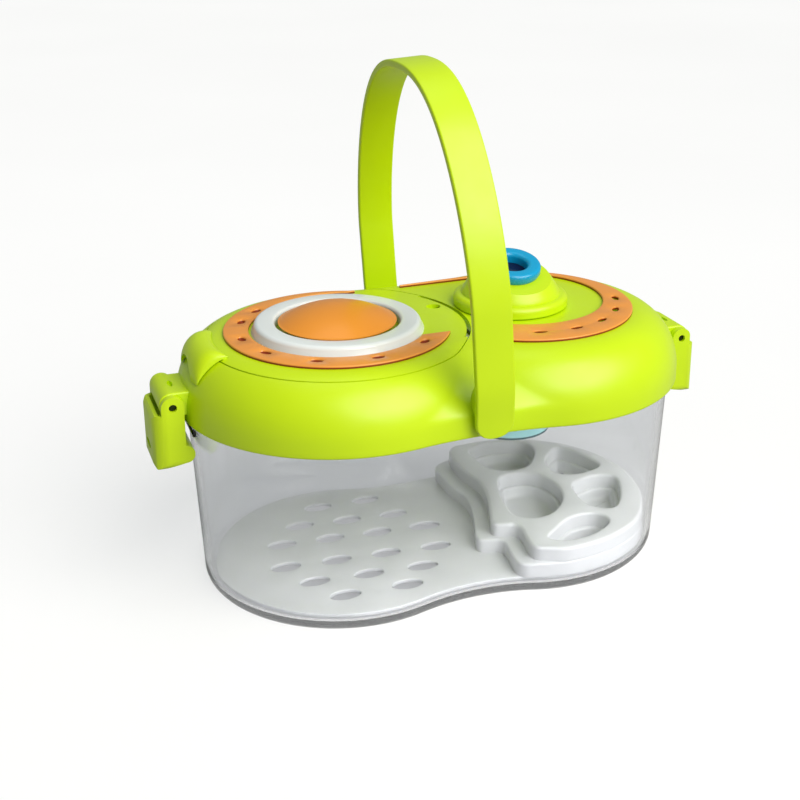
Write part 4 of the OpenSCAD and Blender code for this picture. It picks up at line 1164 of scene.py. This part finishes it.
PLATE_IN_X = LATCH_X + LUG_R + 0.5
PLATE_OUT_X = PLATE_IN_X + PLATE_T
LEVER_HALF = LUG_W / 2 + CHEEK_GAP + CHEEK_T
LEVER_LOW_Z = LATCH_Z - LEVER_DROP


def lever_side():
    """The lever's outline from the side: knuckle, nose and outer plate."""
    x, z, plate_x = LATCH_X, LATCH_Z, PLATE_IN_X
    inner_x, r = x - LATCH_OUT + 0.5, NOSE_H / 2
    tip_x = x - LATCH_OUT - 0.4 - LID_WALL
    outline = [(x + KNUCKLE_R * cos(t), z + KNUCKLE_R * sin(t)) for t in turns(0, 180, 10)]
    outline += [(inner_x - 0.1, z - 3), (inner_x, z - NOSE_Z)]
    outline += [(tip_x + r + r * cos(t), z - NOSE_Z - r + r * sin(t)) for t in turns(90, 270, 15)]
    outline += [(plate_x, LEVER_LOW_Z), (plate_x + 1.4, LEVER_LOW_Z + 0.5), (PLATE_OUT_X, LEVER_LOW_Z + 1.8)]
    return outline + [(PLATE_OUT_X, z - 4.2), (plate_x + 1.1, z - 2.6), (x + KNUCKLE_R, z - 2.6)]


def round_plate(lever, side):
    """Rounds the plate's upright edge and its lower corner on one side."""
    half, r, out_x = LEVER_HALF, PLATE_ROUND, PLATE_OUT_X
    plan = [(out_x + 3, half + 3), (out_x + 3, half - r), (out_x + 0.01, half - r)]
    plan += [(out_x - r * (1 - cos(t)), half - r * (1 - sin(t))) for t in turns(9, 81, 9)]
    plan += [(out_x - r, half + 0.01), (out_x - r, half + 3)]
    boolean(lever, upright("corner", [(x, side * y) for x, y in plan], LATCH_Z - 40, LATCH_Z + 20))
    r, low = PLATE_ROUND - 1.5, LEVER_LOW_Z
    front = [(half + 3, low - 3), (half + 3, low + r), (half + 0.01, low + r)]
    front += [(half - r * (1 - cos(t)), low + r * (1 - sin(t))) for t in turns(9, 81, 9)]
    front += [(half - r, low - 0.01), (half - r, low - 3)]
    boolean(lever, along_x("corner", [(side * y, z) for y, z in front], LATCH_X - 20, LATCH_X + 20))


def make_latch(side, name, body, node):
    """A lever: two cheeks on the pin, an outer plate and a nose that hooks under the tub's rib."""
    lever = side_prism(name, lever_side(), -LEVER_HALF, LEVER_HALF)
    soften(lever, 0.45, angle=35)
    inner_x, low, high = LATCH_X - 20, LATCH_Z - NOSE_Z, LATCH_Z + 20
    channel = [(inner_x, low), (PLATE_IN_X, low), (PLATE_IN_X, high), (inner_x, high)]
    boolean(lever, side_prism("channel", channel, CHEEK_T - LEVER_HALF, LEVER_HALF - CHEEK_T))
    for end in (-1, 1):
        round_plate(lever, end)
    boolean(lever, cross_rod("bore", LATCH_X, LATCH_Z, LEVER_HALF + 2, LEVER_BORE_R, 32))
    boolean(lever, along_x("nail", oval(0, LATCH_Z - 15, 8, 2.4), PLATE_OUT_X - 0.8, PLATE_OUT_X + 2))
    shade(lever, 40)
    if side < 0:
        move(lever, MIRROR)
        turn_outwards(lever)
    return dress(lever, "lime_plastic", body, node)


# ---- stage

FLOOR_GLOW = 0.56
FLOOR_THROUGH = 0.6
WORLD_LIGHT = 0.3
MIDDLE = (0, 0, 0.07)
# Lamps: name, place, size in metres and watts
LAMPS = [("strip", (0.2, -0.62, 0.42), (0.5, 0.16), 0.5), ("top", (0.0, 0.1, 0.8), (0.5, 0.4), 0.6)]
SUN_LIGHT = 3.2
SUN_ANGLE = 55
SUN_FROM = (0.45, -0.85, 0.85)


def reckon(tree, kind, *values):
    """What a math node makes of two inputs."""
    node = tree.nodes.new("ShaderNodeMath")
    node.operation = kind
    for socket, value in zip(node.inputs, values):
        plug(tree, socket, value)
    return node.outputs["Value"]


def seen_directly(tree, through=1.0):
    """1 for what the camera sees, through for what it sees in clear plastic and 0 for bouncing light."""
    path = add(tree, "ShaderNodeLightPath")
    dimmed = reckon(tree, "MULTIPLY", path.outputs["Is Transmission Ray"], through)
    return reckon(tree, "MAXIMUM", path.outputs["Is Camera Ray"], dimmed)


def in_scene(name, data):
    """A new object of the scene."""
    item = bpy.data.objects.new(name, data)
    bpy.context.scene.collection.objects.link(item)
    return item


def make_floor():
    """The pale floor, which glows a little for the camera alone."""
    bpy.ops.object.select_all(action="DESELECT")
    bpy.ops.mesh.primitive_plane_add(size=6, location=(0, 0, 0))
    floor = bpy.context.object
    floor.name = "floor"
    material, tree, shader = new_material("pale_floor")
    tone = blend_colours(tree, span(tree, noise(tree, 3)), (0.4, 0.4, 0.4), (0.42, 0.42, 0.42))
    glow = reckon(tree, "MULTIPLY", seen_directly(tree, FLOOR_THROUGH), FLOOR_GLOW)
    feed(tree, shader, Base_Color=tone, Roughness=0.8, Emission_Color=(1, 1, 1), Emission_Strength=glow)
    floor.data.materials.append(material)


def make_lights():
    """A white backdrop, a faint light from all round, two lamps and a broad sun."""
    world = bpy.data.worlds.new("studio")
    bpy.context.scene.world = world
    world.use_nodes = True
    tree = world.node_tree
    back = feed(tree, tree.nodes["Background"], Color=(0.9, 0.98, 1.0), Strength=WORLD_LIGHT)
    seen = add(tree, "ShaderNodeBackground", Color=(1, 1, 1))
    choose(tree, seen_directly(tree), back.outputs["Background"], seen.outputs["Background"], "World Output")
    for name, place, size, power in LAMPS:
        data = bpy.data.lights.new(name, "AREA")
        data.shape = "RECTANGLE"
        data.size, data.size_y = size
        data.energy = power
        lamp = in_scene(name, data)
        lamp.location = place
        lamp.rotation_euler = (Vector(MIDDLE) - Vector(place)).to_track_quat("-Z", "Y").to_euler()
    sun = bpy.data.lights.new("sun", "SUN")
    sun.energy = SUN_LIGHT
    sun.angle = radians(SUN_ANGLE)
    sun.color = (1.0, 0.97, 0.92)
    in_scene("sun", sun).rotation_euler = Vector(SUN_FROM).to_track_quat("Z", "Y").to_euler()


CAMERA_TURN = -20.62
CAMERA_UP = 19.6
CAMERA_AWAY = 434.2
CAMERA_AIM = (0, 0, 80)
LENS = 58.55
SHIFT = (-0.0412, -0.0888)


def make_camera():
    """The photo's camera."""
    a, e = radians(CAMERA_TURN), radians(CAMERA_UP)
    back = Vector((sin(a) * cos(e), -cos(a) * cos(e), sin(e)))
    data = bpy.data.cameras.new("camera")
    data.lens = LENS
    data.sensor_width = 36
    data.shift_x, data.shift_y = SHIFT
    data.clip_start = 0.01
    camera = in_scene("camera", data)
    camera.location = (Vector(CAMERA_AIM) + back * CAMERA_AWAY) * MM
    camera.rotation_euler = back.to_track_quat("Z", "Y").to_euler()
    bpy.context.scene.camera = camera
    bpy.context.scene.view_settings.view_transform = "Standard"


FINISHES = make_finishes()
NODE_FINISHES = {
    # The pins take the steel in painted shade.
    "hatch_hinge_pin": "dark_steel", "latch_pin_left": "dark_steel", "latch_pin_right": "dark_steel",
    "button_guide": "white_plastic", "guide_screws": "steel", "button_clip": "steel",
    "button_spring": "steel", "eyepiece_lens": "dark_lens", "viewing_tube": "cyan_tube",
    "objective_lens": "lens", "lens_rim": "teal_plastic", "viewer_retainer": "steel",
}

make_camera()
make_floor()
make_lights()
for name, finish in NODE_FINISHES.items():
    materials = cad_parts[name].data.materials
    materials.clear()
    materials.append(FINISHES[finish])
make_tub()
make_floor_tray()
make_cell_trays()
lid_body = lid_outer("lid")
pick(lid_body)
bpy.ops.object.duplicate()
hatch_body = bpy.context.object
hatch_body.name = "hatch"
make_lid(lid_body)
make_hatch(hatch_body)
make_left_trim()
make_right_trim()
make_bezel()
make_dome()
make_viewer()
make_eyepiece()
make_handle()
make_latch(-1, "left_latch", "latch_left", "latch_lever_left")
make_latch(1, "right_latch", "latch_right", "latch_lever_right")
